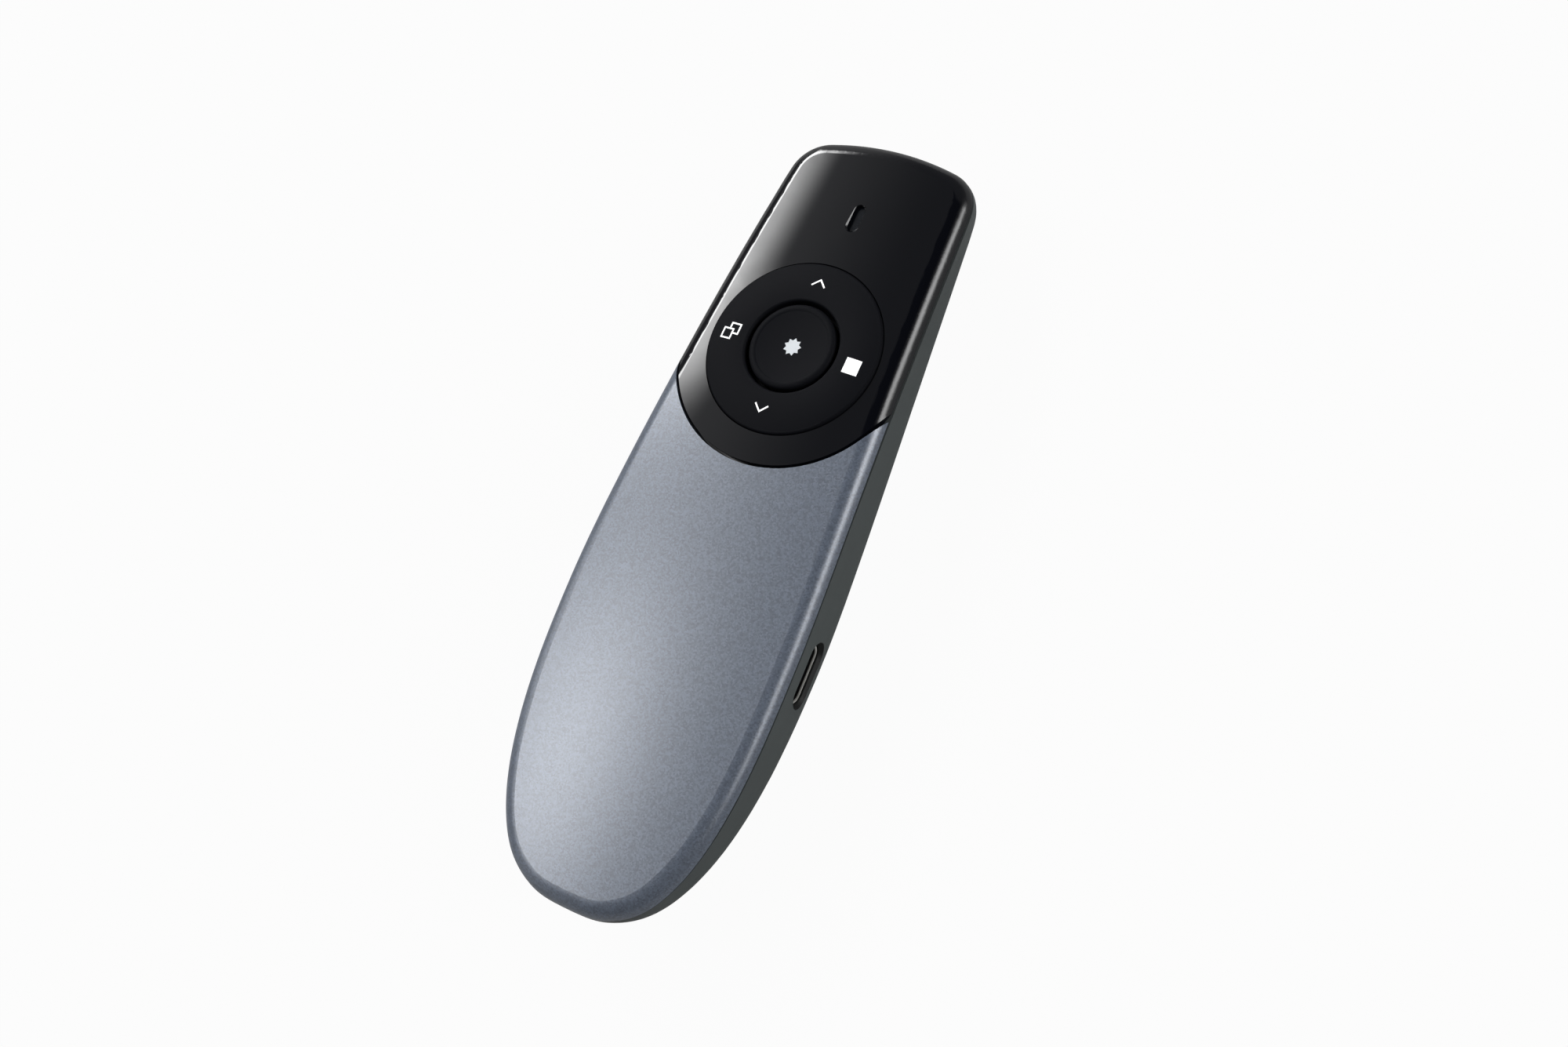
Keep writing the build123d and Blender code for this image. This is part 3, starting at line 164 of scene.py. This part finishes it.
class Finish(Recipe):
    """A procedural surface finish: one Principled shader and the nodes that vary it."""

    def __init__(self, name, colour, roughness, metallic=0.0, **constants):
        self.material = bpy.data.materials.new(name)
        self.material.use_nodes = True
        super().__init__(self.material.node_tree)
        self.shader = self.tree.nodes["Principled BSDF"]
        self.shader.inputs["Base Color"].default_value = (*colour, 1.0)
        self.shader.inputs["Roughness"].default_value = roughness
        self.shader.inputs["Metallic"].default_value = metallic
        for socket_name, value in constants.items():
            self.shader.inputs[socket_name.replace("_", " ")].default_value = value
        self.material.diffuse_color = (*colour, 1.0)

    def place(self):
        return self.node("ShaderNodeTexCoord", output="Object")

    def axes(self):
        """The object coordinate's three numbers, in millimetres."""
        return [part * (1 / MM) for part in self.split(self.place())]

    def noise(self, size_mm, detail=2.0, roughness=0.5):
        """Noise with features of about the given size."""
        values = {"Vector": self.place(), "Scale": 1 / (size_mm * MM)}
        values.update({"Detail": detail, "Roughness": roughness})
        return self.node("ShaderNodeTexNoise", values=values)

    def cells(self, size_mm):
        """Cells of about the given size, each with a colour of its own."""
        values = {"Vector": self.place(), "Scale": 1 / (size_mm * MM)}
        return self.node("ShaderNodeTexVoronoi", values=values, output="Color")

    def blend(self, factor, colour_a, colour_b):
        """Colour that goes from a to b with the factor."""
        values = {"Factor": factor}
        for socket, colour in ((6, colour_a), (7, colour_b)):
            values[socket] = colour if isinstance(colour, Signal) else (*colour, 1.0)
        return self.node("ShaderNodeMix", {"data_type": "RGBA"}, values, output=2)

    def drive(self, socket_name, signal):
        self.tree.links.new(signal.socket, self.shader.inputs[socket_name])
        return self

    def bump(self, height, depth_mm, strength=1.0):
        values = {"Height": height, "Distance": depth_mm * MM, "Strength": strength}
        return self.drive("Normal", self.node("ShaderNodeBump", values=values))


def tone(red, green, blue):
    """Display colour, 0 to 255, as the linear colour that shaders take."""
    linear = []
    for part in (red, green, blue):
        share = part / 255
        linear.append(share / 12.92 if share <= 0.04045 else ((share + 0.055) / 1.055) ** 2.4)
    return tuple(linear)


def shaded(colour, share):
    """A colour made deeper or paler by a share of its light."""
    return tuple(part * share for part in colour)


def dress(node_name, finish):
    """Gives a CAD node a finish in place of the one it was packed with."""
    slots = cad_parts[node_name].data.materials
    slots.clear()
    slots.append(finish.material)


# ---- Finishes ---------------------------------------------------------------------------

def grip_paint(colours):
    """Metallic paint: fine flakes that catch the light one by one, under a clear coat."""
    finish = Finish("metallic grip paint", colours.grip, 0.36, 0.15, Specular_IOR_Level=1.0)
    glint = finish.node("ShaderNodeSeparateColor", values={0: finish.cells(FLAKE_SIZE)})
    cloud = finish.noise(2 * FLAKE_SIZE, 3.0, 0.6)
    shade = 0.7 * glint + 0.3 * cloud
    finish.drive("Base Color", finish.blend(shade, shaded(colours.grip, 0.66), shaded(colours.grip, 1.42)))
    finish.drive("Roughness", 0.28 + 0.06 * cloud)
    return finish.bump(shade, 0.012, 0.5)


def gloss_black(colours):
    """Polished black plastic, drawn to a softer sheen where the edges roll over."""
    finish = Finish("gloss black", colours.gloss, 0.06)
    facing = finish.node("ShaderNodeTexCoord", output="Normal")
    rolled = 1 - finish.split(facing)[2].ramp(0.7, 0.97)
    wave = finish.noise(9.0, 1.0)
    finish.drive("Roughness", 0.03 + 0.02 * wave + 0.2 * rolled)
    return finish.bump(wave, 0.004, 0.15)


def satin_black(colours):
    """Fine spark-eroded black rubber of the ring and the button."""
    finish = Finish("satin black", colours.controls, 0.6, Specular_IOR_Level=0.05)
    grain = finish.noise(0.09, 2.0)
    finish.drive("Roughness", 0.56 + 0.1 * grain)
    return finish.bump(grain, 0.004, 0.35)


def case_plastic(colours):
    """Dark grey case plastic with a fine mould texture, and painted shade on the walls round the charging
    socket.
    """
    finish = Finish("case plastic", colours.case, 0.5, Specular_IOR_Level=0.3)
    grain = finish.noise(0.12, 3.0)
    cloud = finish.noise(6.0, 2.0)
    wall = finish.blend(cloud, shaded(colours.case, 0.93), shaded(colours.case, 1.07))
    # Painted shade: near-black colour on the recess walls round the charging socket, where they lie in
    # shade
    low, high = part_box("usb_c_tongue")
    middle = (low + high) / (2 * MM)
    x, y, z = finish.axes()
    past_straight = (abs(y - middle.y) - MOUTH_STRAIGHT).or_more(0)
    below = z - middle.z
    off_axis = (past_straight * past_straight + below * below) ** 0.5
    inside = 1 - off_axis.ramp(MOUTH_RADIUS - MOUTH_EDGE, MOUTH_RADIUS + MOUTH_EDGE)
    mouth = inside * x.ramp(MOUTH_BACK, MOUTH_BACK + 1)
    finish.drive("Base Color", finish.blend(mouth, wall, colours.mouth))
    finish.drive("Roughness", 0.44 + 0.12 * grain)
    return finish.bump(grain, 0.006, 0.3)


def moulded_plastic(name, colour, roughness=0.5):
    """Plastic with the fine grain of its mould."""
    finish = Finish(name, colour, roughness)
    grain = finish.noise(0.15, 2.0)
    finish.drive("Roughness", (roughness - 0.06) + 0.12 * grain)
    return finish.bump(grain, 0.006, 0.3)


def plated_metal(name, colour, roughness):
    """Plated sheet with faint rolling marks."""
    finish = Finish(name, colour, roughness, 1.0)
    cloud = finish.noise(0.8, 3.0)
    finish.drive("Roughness", (roughness - 0.05) + 0.12 * cloud)
    return finish.bump(cloud, 0.003, 0.2)


def socket_nickel():
    """Satin nickel of the socket's shell, with painted shade making it near black behind its rim."""
    finish = Finish("socket nickel", tone(200, 200, 196), 0.4, 0.6)
    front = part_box("usb_c_shell")[1].x / MM
    rim = finish.axes()[0].ramp(front - 2 * RIM_DEPTH, front - RIM_DEPTH)
    # Painted shade: the shell's wall behind the rim is coloured near black, where the recess shades it
    finish.drive("Base Color", finish.blend(rim, tone(26, 26, 27), tone(215, 215, 210)))
    cloud = finish.noise(0.8, 3.0)
    finish.drive("Roughness", 0.35 + 0.1 * cloud)
    return finish.bump(cloud, 0.003, 0.2)


def turned_metal(name, colour, roughness=0.28):
    """Turned metal with tool marks along the lathe's axis."""
    finish = Finish(name, colour, roughness, 1.0)
    along = finish.axes()[1]
    groove = (along * 40.0).wave()
    finish.drive("Roughness", (roughness - 0.04) + 0.08 * finish.noise(0.3))
    return finish.bump(groove, 0.002, 0.3)


def circuit_board():
    """Green solder mask with copper runs that show through it."""
    finish = Finish("solder mask", tone(16, 74, 44), 0.3, Coat_Weight=0.3, Coat_Roughness=0.15)
    across, along, _ = finish.axes()
    lane = finish.noise(3.0, 0.0) * 3.0
    runs_across = (((along + lane) * 1.25).fraction() < 0.3) * (lane > 1.5)
    runs_along = (((across + lane) * 1.25).fraction() < 0.3) * (lane < 1.5)
    copper = runs_across.or_more(runs_along)
    finish.drive("Base Color", finish.blend(copper, tone(14, 66, 38), tone(40, 112, 62)))
    return finish.bump(copper, 0.03, 0.5)


def clear_glass():
    """Clear glass of the laser's lens and window."""
    finish = Finish("clear lens", (1.0, 1.0, 1.0), 0.03, Transmission_Weight=1.0, IOR=1.5)
    finish.drive("Roughness", 0.02 + 0.02 * finish.noise(1.0))
    return finish


def light_window(colours):
    """Smoke tinted clear plastic over the status light."""
    finish = Finish("smoked light window", colours.light_window, 0.12, Specular_IOR_Level=0.3)
    finish.drive("Roughness", 0.1 + 0.06 * finish.noise(0.8))
    return finish


def cell_foil():
    """Aluminium laminate of the battery, lightly creased."""
    finish = Finish("cell foil", tone(186, 188, 190), 0.3, 1.0)
    crease = finish.noise(4.0, 4.0, 0.6)
    finish.drive("Roughness", 0.24 + 0.18 * crease)
    return finish.bump(crease, 0.15, 0.5)


def white_ink(colours):
    """Pad-printed ink with a very slightly uneven film, and a faint painted glow that lifts it to full
    white.
    """
    # Painted glow: a weak white emission on the ink
    finish = Finish("white ink", colours.ink, 0.55, Emission_Color=(1, 1, 1, 1), Emission_Strength=0.25)
    film = finish.noise(0.2, 2.0)
    finish.drive("Roughness", 0.5 + 0.1 * film)
    return finish.bump(film, 0.002, 0.2)


# ---- Modelling helpers -------------------------------------------------------------------

def pick_nothing():
    """Leaves edit mode and deselects everything."""
    if bpy.context.mode != "OBJECT":
        bpy.ops.object.mode_set(mode="OBJECT")
    bpy.ops.object.select_all(action="DESELECT")


def pick(*objects):
    """Selects these objects alone and makes the first one active."""
    pick_nothing()
    for item in objects:
        item.select_set(True)
    bpy.context.view_layer.objects.active = objects[0]


def apply_modifier(piece, kind, **settings):
    """Adds a modifier to a piece and applies it."""
    pick(piece)
    modifier = piece.modifiers.new(kind.title(), kind)
    for name, value in settings.items():
        setattr(modifier, name, value)
    bpy.ops.object.modifier_apply(modifier=modifier.name)


def set_in_place(piece, matrix):
    """Carries a piece's mesh to its place and leaves the object at the origin."""
    piece.data.transform(matrix @ piece.matrix_world)
    piece.matrix_world = Matrix.Identity(4)
    return piece


def finish_piece(piece, name, finish, body):
    """Names a piece, gives it its finish and lets it ride on its body."""
    piece.name = name
    piece.data.name = name
    piece.data.materials.clear()
    piece.data.materials.append(finish.material)
    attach(piece, body)
    return piece


def flat_plate(outline, thick):
    """Prism over a flat outline in XY, with its underside at zero height."""
    pick_nothing()
    bpy.ops.mesh.primitive_circle_add(vertices=len(outline), radius=1.0, fill_type="NGON")
    plate = bpy.context.object
    for corner, (x, y) in zip(plate.data.vertices, outline):
        corner.co = (x, y, 0.0)
    bpy.ops.object.mode_set(mode="EDIT")
    bpy.ops.mesh.select_all(action="SELECT")
    bpy.ops.mesh.extrude_region_move(TRANSFORM_OT_translate={"value": (0, 0, thick)})
    bpy.ops.mesh.select_all(action="SELECT")
    bpy.ops.mesh.normals_make_consistent(inside=False)
    bpy.ops.object.mode_set(mode="OBJECT")
    return plate


def joined(plates):
    """One piece out of several plates."""
    pick(*plates)
    bpy.ops.object.join()
    return bpy.context.object


def bar_outline(start, end, width):
    """Square-ended bar between two points of XY."""
    run = (Vector(end) - Vector(start)).normalized()
    side = Vector((-run.y, run.x)) * width / 2
    corners = (Vector(start) + side, Vector(start) - side, Vector(end) - side, Vector(end) + side)
    return [tuple(corner) for corner in corners]


def lay_on(plate, carrier_name, thick):
    """Drops a print's plate on to a curved node so that it lies on the surface."""
    apply_modifier(plate, "SUBSURF", subdivision_type="SIMPLE", levels=2, render_levels=2)
    pick(plate)
    low = min(corner.co.z for corner in plate.data.vertices)
    heights = [corner.co.z - low for corner in plate.data.vertices]
    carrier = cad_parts[carrier_name]
    to_deck = DECK.inverted()
    down = (DECK.to_3x3() @ Vector((0, 0, -1))).normalized()
    for corner, height in zip(plate.data.vertices, heights):
        above = DECK @ Vector((corner.co.x, corner.co.y, DROP_HEIGHT))
        hit, spot, _, _ = carrier.ray_cast(above, down)
        if not hit:
            raise RuntimeError(f"{plate.name} doesn't lie over {carrier_name}")
        surface = (to_deck @ spot).z
        corner.co.z = surface - INK_SINK + min(height, thick)
    return set_in_place(plate, DECK)


# ---- Sizes and colours that a user would change --------------------------------------------

class ClickerColours(bpy.types.PropertyGroup):
    """Colours of the clicker's outside."""

    def colour(name, description, default):
        return bpy.props.FloatVectorProperty(name=name, description=description, default=default,
                                             subtype="COLOR", min=0.0, max=1.0)

    grip: colour("Grip", "Metallic paint of the rear cover", tone(84, 92, 105))
    gloss: colour("Gloss", "Polished plastic of the front cover", tone(6, 7, 12))
    controls: colour("Controls", "Ring and button", tone(12, 13, 17))
    case: colour("Case", "Bottom case and its wall", tone(70, 75, 75))
    # Painted shade: colour laid on the recess walls round the charging socket in place of their shade
    mouth: colour("Socket mouth", "Shadowed walls round the charging socket", tone(14, 16, 16))
    light_window: colour("Light window", "Window over the status light", tone(13, 17, 24))
    ink: colour("Ink", "Printed icons", tone(255, 255, 255))
    star: colour("Star", "Printed laser star", tone(204, 209, 213))


class ClickerIcons(bpy.types.PropertyGroup):
    """Sizes of the printed icons."""

    def size(name, description, millimetres):
        return bpy.props.FloatProperty(name=name, description=description, default=millimetres * MM,
                                       unit="LENGTH", min=0.0)

    chevron: size("Chevron", "Length of a chevron's arm", 1.55)
    square: size("Square", "Side of the stop square", 2.4)
    frame_side: size("Frame", "Side of each overlapping square", 1.8)
    frame_shift: size("Frame shift", "How far the rear frame stands up and to the right", 0.95)
    stroke: size("Stroke", "Width of the printed lines", 0.25)
    star: size("Star", "Outer radius of the laser star", 1.42)
    film: size("Film", "Thickness of the ink", 0.02)


class ClickerStudio(bpy.types.PropertyGroup):
    """Backdrop and softbox."""

    backdrop: bpy.props.FloatVectorProperty(name="Backdrop", description="Floor colour", subtype="COLOR",
                                            default=(0.28, 0.28, 0.28), min=0.0, max=1.0)
    softbox: bpy.props.FloatProperty(name="Softbox", description="Strength of the softbox on the left",
                                     default=20.0, min=0.0)


CAMERA_PLACE = Vector((130.877, -37.401, 252.711)) * MM
CAMERA_TURN = Euler([math.radians(angle) for angle in (18.7612, 21.5952, 25.1716)])
CAMERA_LENS = 43.2719
CAMERA_SENSOR = 36.0
CAMERA_NEAR = 0.005

FLOOR_SIZE = 8.0
FLOOR_DROP = 0.2 * MM
SEEN_WHITE = 0.96
MIRRORED_WHITE = 0.1

# Strengths of the sky's lights, beside the softbox
ROOM = 0.16
GLOW = 0.45
GAP_SHADE = 0.85
GRIP_BOX = 17.5
SIDE_BOX = 10.0
RIM_BOX = 2.6

# Edges of the lights on a sky of radius 1: where each rises, and where it falls again
HORIZON = (-0.05, 0.05)
STRIP_SLANT = 0.17
STRIP_ACROSS = ((0.606, 0.73), (0.79, 0.82))
STRIP_ALONG = ((0.18, 0.28), (0.6, 0.75))
GRIP_ACROSS = ((0.45, 0.57), (0.57, 0.7))
GRIP_ALONG = ((-0.42, -0.2), (-0.14, 0.13))
SIDE_ACROSS = ((0.68, 0.82), (0.86, 0.95))
SIDE_ABOVE = (0.02, 0.2)
SIDE_REAR = (-0.35, -0.05)
SIDE_FRONT = (0.15, 0.4)
SIDE_REAR_SHARE = 0.55
RIM_FROM = (0.62, 0.74)
RIM_ABOVE = (0.05, 0.3)
RIM_ALONG = ((-0.2, 0.0), (0.02, 0.1))
GLOW_ACROSS = ((0.34, 0.6), (0.78, 0.86))
GAP_ACROSS = ((-0.22, -0.12), (0.5, 0.62))
GAP_ALONG = ((0.12, 0.22), (0.62, 0.72))


# ---- Operators ----------------------------------------------------------------------------

class CLICKER_OT_housing(bpy.types.Operator):
    """Finish the case, the covers and the trims that close them"""
    bl_idname = "clicker.housing"
    bl_label = "Housing"

    def execute(self, context):
        colours = context.scene.clicker_colours
        gloss = gloss_black(colours)
        dress("grip_cover", grip_paint(colours))
        dress("bottom_case", case_plastic(colours))
        for node_name in ("control_cover", "receiver_cap", "laser_bezel", "power_switch_knob"):
            dress(node_name, gloss)
        dress("led_light_pipe", light_window(colours))
        return {"FINISHED"}


class CLICKER_OT_controls(bpy.types.Operator):
    """Finish the navigation ring, the laser button and what holds them"""
    bl_idname = "clicker.controls"
    bl_label = "Controls"

    def execute(self, context):
        colours = context.scene.clicker_colours
        satin = satin_black(colours)
        dress("nav_ring", satin)
        dress("laser_button", satin)
        inner = moulded_plastic("inner plastic", tone(40, 40, 42))
        for node_name in ("rocker_cradle", "button_guide", "power_switch_body"):
            dress(node_name, inner)
        foil = plated_metal("dome foil", tone(205, 202, 196), 0.25)
        for place in ("center", "up", "down", "left", "right"):
            dress(f"snap_dome_{place}", foil)
        return {"FINISHED"}


class CLICKER_OT_insides(bpy.types.Operator):
    """Finish the boards, the cell, the laser module, the socket and the receiver"""
    bl_idname = "clicker.insides"
    bl_label = "Insides"

    def execute(self, context):
        board = circuit_board()
        chip = moulded_plastic("chip epoxy", tone(32, 32, 34), 0.45)
        tongue = moulded_plastic("tongue nylon", tone(14, 14, 15), 0.5)
        tin = plated_metal("tin plate", tone(210, 210, 208), 0.22)
        steel = plated_metal("screw steel", tone(150, 150, 152), 0.3)
        brass = turned_metal("turned brass", tone(206, 170, 98))
        plating = plated_metal("contact gold", tone(176, 142, 84), 0.2)
        glass = clear_glass()
        finishes = {
            "main_board": board,
            "charge_board": board,
            "radio_chip": chip,
            "charger_chip": chip,
            "usb_c_tongue": tongue,
            "receiver_tongue": tongue,
            "crystal_can": tin,
            "usb_c_shell": socket_nickel(),
            "usb_c_contacts": plating,
            "receiver_contacts": plating,
            "receiver_shell": tin,
            "case_screws": steel,
            "board_screws": steel,
            "bay_magnet": plated_metal("magnet nickel", tone(180, 180, 178), 0.18),
            "laser_barrel": brass,
            "laser_diode": turned_metal("diode gold", tone(214, 176, 104), 0.2),
            "laser_lens": glass,
            "laser_window": glass,
            "battery": cell_foil(),
            "battery_pad": moulded_plastic("foam tape", tone(70, 70, 72), 0.85),
            "battery_lead_red": moulded_plastic("red wire", tone(180, 30, 28), 0.4),
            "battery_lead_black": moulded_plastic("black wire", tone(30, 30, 30), 0.4),
            "battery_plug": moulded_plastic("plug nylon", tone(226, 222, 208), 0.5),
            "board_ribbon": moulded_plastic("amber ribbon", tone(198, 130, 40), 0.3),
            "indicator_led": moulded_plastic("light package", tone(236, 232, 214), 0.35),
        }
        for node_name, finish in finishes.items():
            dress(node_name, finish)
        return {"FINISHED"}


class CLICKER_OT_chevrons(bpy.types.Operator):
    """Print the chevrons at the top and the bottom of the ring"""
    bl_idname = "clicker.chevrons"
    bl_label = "Chevrons"

    def execute(self, context):
        sizes = context.scene.clicker_icons
        ink = white_ink(context.scene.clicker_colours)
        for name, way in (("chevron_up", 1), ("chevron_down", -1)):
            reach = sizes.chevron / math.sqrt(2)
            tip = Vector((0, way * (ICON_R + reach / 2))) + CHEVRON_SHIFT
            arms = []
            for side in (-1, 1):
                foot = tip + Vector((side * reach, -way * reach))
                overlap = Vector((-side, way)).normalized() * sizes.stroke / 2
                arms.append(flat_plate(bar_outline(foot, tip + overlap, sizes.stroke), sizes.film))
            plate = lay_on(joined(arms), "nav_ring", sizes.film)
            finish_piece(plate, name, ink, "ring")
        return {"FINISHED"}


class CLICKER_OT_squares(bpy.types.Operator):
    """Print the stop square and the two overlapping frames"""
    bl_idname = "clicker.squares"
    bl_label = "Squares"

    def execute(self, context):
        sizes = context.scene.clicker_icons
        ink = white_ink(context.scene.clicker_colours)
        half = sizes.square / 2
        middle, level = ICON_R, SQUARES_LEVEL
        outline = [(middle - half, level - half), (middle + half, level - half),
                   (middle + half, level + half), (middle - half, level + half)]
        stop = lay_on(flat_plate(outline, sizes.film), "nav_ring", sizes.film)
        finish_piece(stop, "stop_square", ink, "ring")

        side, line = sizes.frame_side, sizes.stroke
        shift = sizes.frame_shift
        front = Vector((-ICON_R - shift / 2, level - shift / 2))
        back = Vector((-ICON_R + shift / 2, level + shift / 2))
        reach = side / 2
        strokes = []
        for centre in (front, back):
            for turn in range(4):
                spin = Matrix.Rotation(math.pi / 2 * turn, 2)
                start = spin @ Vector((-reach, -reach + line / 2))
                end = spin @ Vector((reach, -reach + line / 2))
                if centre is back and turn in (0, 3):
                    start, end = self.hidden_end(turn, start, end, shift, line)
                strokes.append(flat_plate(bar_outline(centre + start, centre + end, line), sizes.film))
        frames = lay_on(joined(strokes), "nav_ring", sizes.film)
        finish_piece(frames, "overlapping_squares", ink, "ring")
        return {"FINISHED"}

    def hidden_end(self, turn, start, end, shift, line):
        """Cuts a rear stroke back to where the front frame hides it."""
        covered = end - start
        covered = covered.normalized() * (covered.length - shift)
        if turn == 0:
            return start + covered, end
        return start, end - covered


class CLICKER_OT_star(bpy.types.Operator):
    """Print the laser star in the middle of the button"""
    bl_idname = "clicker.star"
    bl_label = "Star"

    def execute(self, context):
        sizes = context.scene.clicker_icons
        outline = []
        for step in range(2 * STAR_POINTS):
            turn = math.pi * step / STAR_POINTS
            radius = sizes.star * (1.0 if step % 2 == 0 else STAR_VALLEY)
            outline.append((radius * math.sin(turn), radius * math.cos(turn)))
        star = lay_on(flat_plate(outline, sizes.film), "laser_button", sizes.film)
        finish = white_ink(context.scene.clicker_colours)
        finish.shader.inputs["Base Color"].default_value = (*context.scene.clicker_colours.star, 1.0)
        finish.shader.inputs["Emission Strength"].default_value = 0.0
        finish_piece(star, "laser_star", finish, "button")
        return {"FINISHED"}


class CLICKER_OT_stage(bpy.types.Operator):
    """Set the floor, the lights of the sky and the camera"""
    bl_idname = "clicker.stage"
    bl_label = "Stage"

    def execute(self, context):
        studio = context.scene.clicker_studio
        pick_nothing()
        bpy.ops.mesh.primitive_plane_add(size=FLOOR_SIZE, location=(0, 0, -FLOOR_DROP))
        floor = bpy.context.object
        floor.name = "floor"
        paper = Finish("floor paper", tuple(studio.backdrop), 0.9)
        direct = paper.node("ShaderNodeLightPath", output="Is Camera Ray")
        mirrored = paper.node("ShaderNodeLightPath", output="Is Glossy Ray")
        through = paper.node("ShaderNodeLightPath", output="Is Transmission Ray")
        white = paper.node("ShaderNodeEmission", values={"Color": (1, 1, 1, 1), "Strength": 1.0})
        share = SEEN_WHITE * direct + MIRRORED_WHITE * mirrored.or_more(through)
        mix = paper.node("ShaderNodeMixShader", values={0: share})
        links = paper.tree.links
        links.new(paper.shader.outputs[0], mix.socket.node.inputs[1])
        links.new(white.socket, mix.socket.node.inputs[2])
        links.new(mix.socket, paper.tree.nodes["Material Output"].inputs["Surface"])
        floor.data.materials.append(paper.material)

        context.scene.world = self.surroundings(studio.softbox)

        camera = bpy.data.objects.new("camera", bpy.data.cameras.new("camera"))
        context.scene.collection.objects.link(camera)
        camera.location = CAMERA_PLACE
        camera.rotation_euler = CAMERA_TURN
        camera.data.sensor_width = CAMERA_SENSOR
        camera.data.lens = CAMERA_LENS
        camera.data.clip_start = CAMERA_NEAR
        context.scene.camera = camera
        context.scene.view_settings.view_transform = "Standard"
        return {"FINISHED"}

    def surroundings(self, strength):
        """Dim room with a strip softbox on the left, and soft boxes over the grip and low on both sides."""
        world = bpy.data.worlds.new("studio")
        world.use_nodes = True
        room = Recipe(world.node_tree)
        right, ahead, up = room.split(room.node("ShaderNodeTexCoord", output="Generated"))
        left = -1 * right
        strip = (STRIP_SLANT * ahead + left).band(*STRIP_ACROSS) * ahead.band(*STRIP_ALONG)
        grip_box = left.band(*GRIP_ACROSS) * ahead.band(*GRIP_ALONG)
        beside = SIDE_REAR_SHARE * ahead.ramp(*SIDE_REAR) + (1 - SIDE_REAR_SHARE) * ahead.ramp(*SIDE_FRONT)
        side = right.band(*SIDE_ACROSS) * up.ramp(*SIDE_ABOVE) * beside
        rim = left.ramp(*RIM_FROM) * up.ramp(*RIM_ABOVE) * ahead.band(*RIM_ALONG)
        glow = left.band(*GLOW_ACROSS)
        gap = right.band(*GAP_ACROSS) * ahead.band(*GAP_ALONG)
        light = (ROOM + GLOW * glow) * (1 - GAP_SHADE * gap)
        light = light + strength * strip + GRIP_BOX * grip_box + SIDE_BOX * side + RIM_BOX * rim
        seen = room.node("ShaderNodeLightPath", output="Is Camera Ray")
        shown = light * up.ramp(*HORIZON) * (1 - seen) + seen
        background = world.node_tree.nodes["Background"]
        background.inputs["Color"].default_value = (1, 1, 1, 1)
        world.node_tree.links.new(shown.socket, background.inputs["Strength"])
        return world


class CLICKER_PT_sidebar(bpy.types.Panel):
    """Buttons and values for the clicker"""
    bl_idname = "CLICKER_PT_sidebar"
    bl_label = "Clicker"
    bl_space_type = "VIEW_3D"
    bl_region_type = "UI"
    bl_category = "Clicker"

    def draw(self, context):
        for operator in OPERATORS:
            self.layout.operator(operator.bl_idname)
        for group_name in GROUPS:
            group = getattr(context.scene, group_name)
            for name in group.bl_rna.properties.keys():
                if name not in {"rna_type", "name"}:
                    self.layout.prop(group, name)


OPERATORS = (CLICKER_OT_housing, CLICKER_OT_controls, CLICKER_OT_insides, CLICKER_OT_chevrons,
             CLICKER_OT_squares, CLICKER_OT_star, CLICKER_OT_stage)
GROUPS = {"clicker_colours": ClickerColours, "clicker_icons": ClickerIcons, "clicker_studio": ClickerStudio}


def register():
    for name, group in GROUPS.items():
        bpy.utils.register_class(group)
        setattr(bpy.types.Scene, name, bpy.props.PointerProperty(type=group))
    for kind in (*OPERATORS, CLICKER_PT_sidebar):
        bpy.utils.register_class(kind)


def unregister():
    for kind in reversed((*OPERATORS, CLICKER_PT_sidebar)):
        bpy.utils.unregister_class(kind)
    for name, group in GROUPS.items():
        delattr(bpy.types.Scene, name)
        bpy.utils.unregister_class(group)


def main():
    """Builds the clicker and its studio."""
    register()
    for operator in OPERATORS:
        group, name = operator.bl_idname.split(".")
        getattr(getattr(bpy.ops, group), name)()


if __name__ == "__main__":
    main()
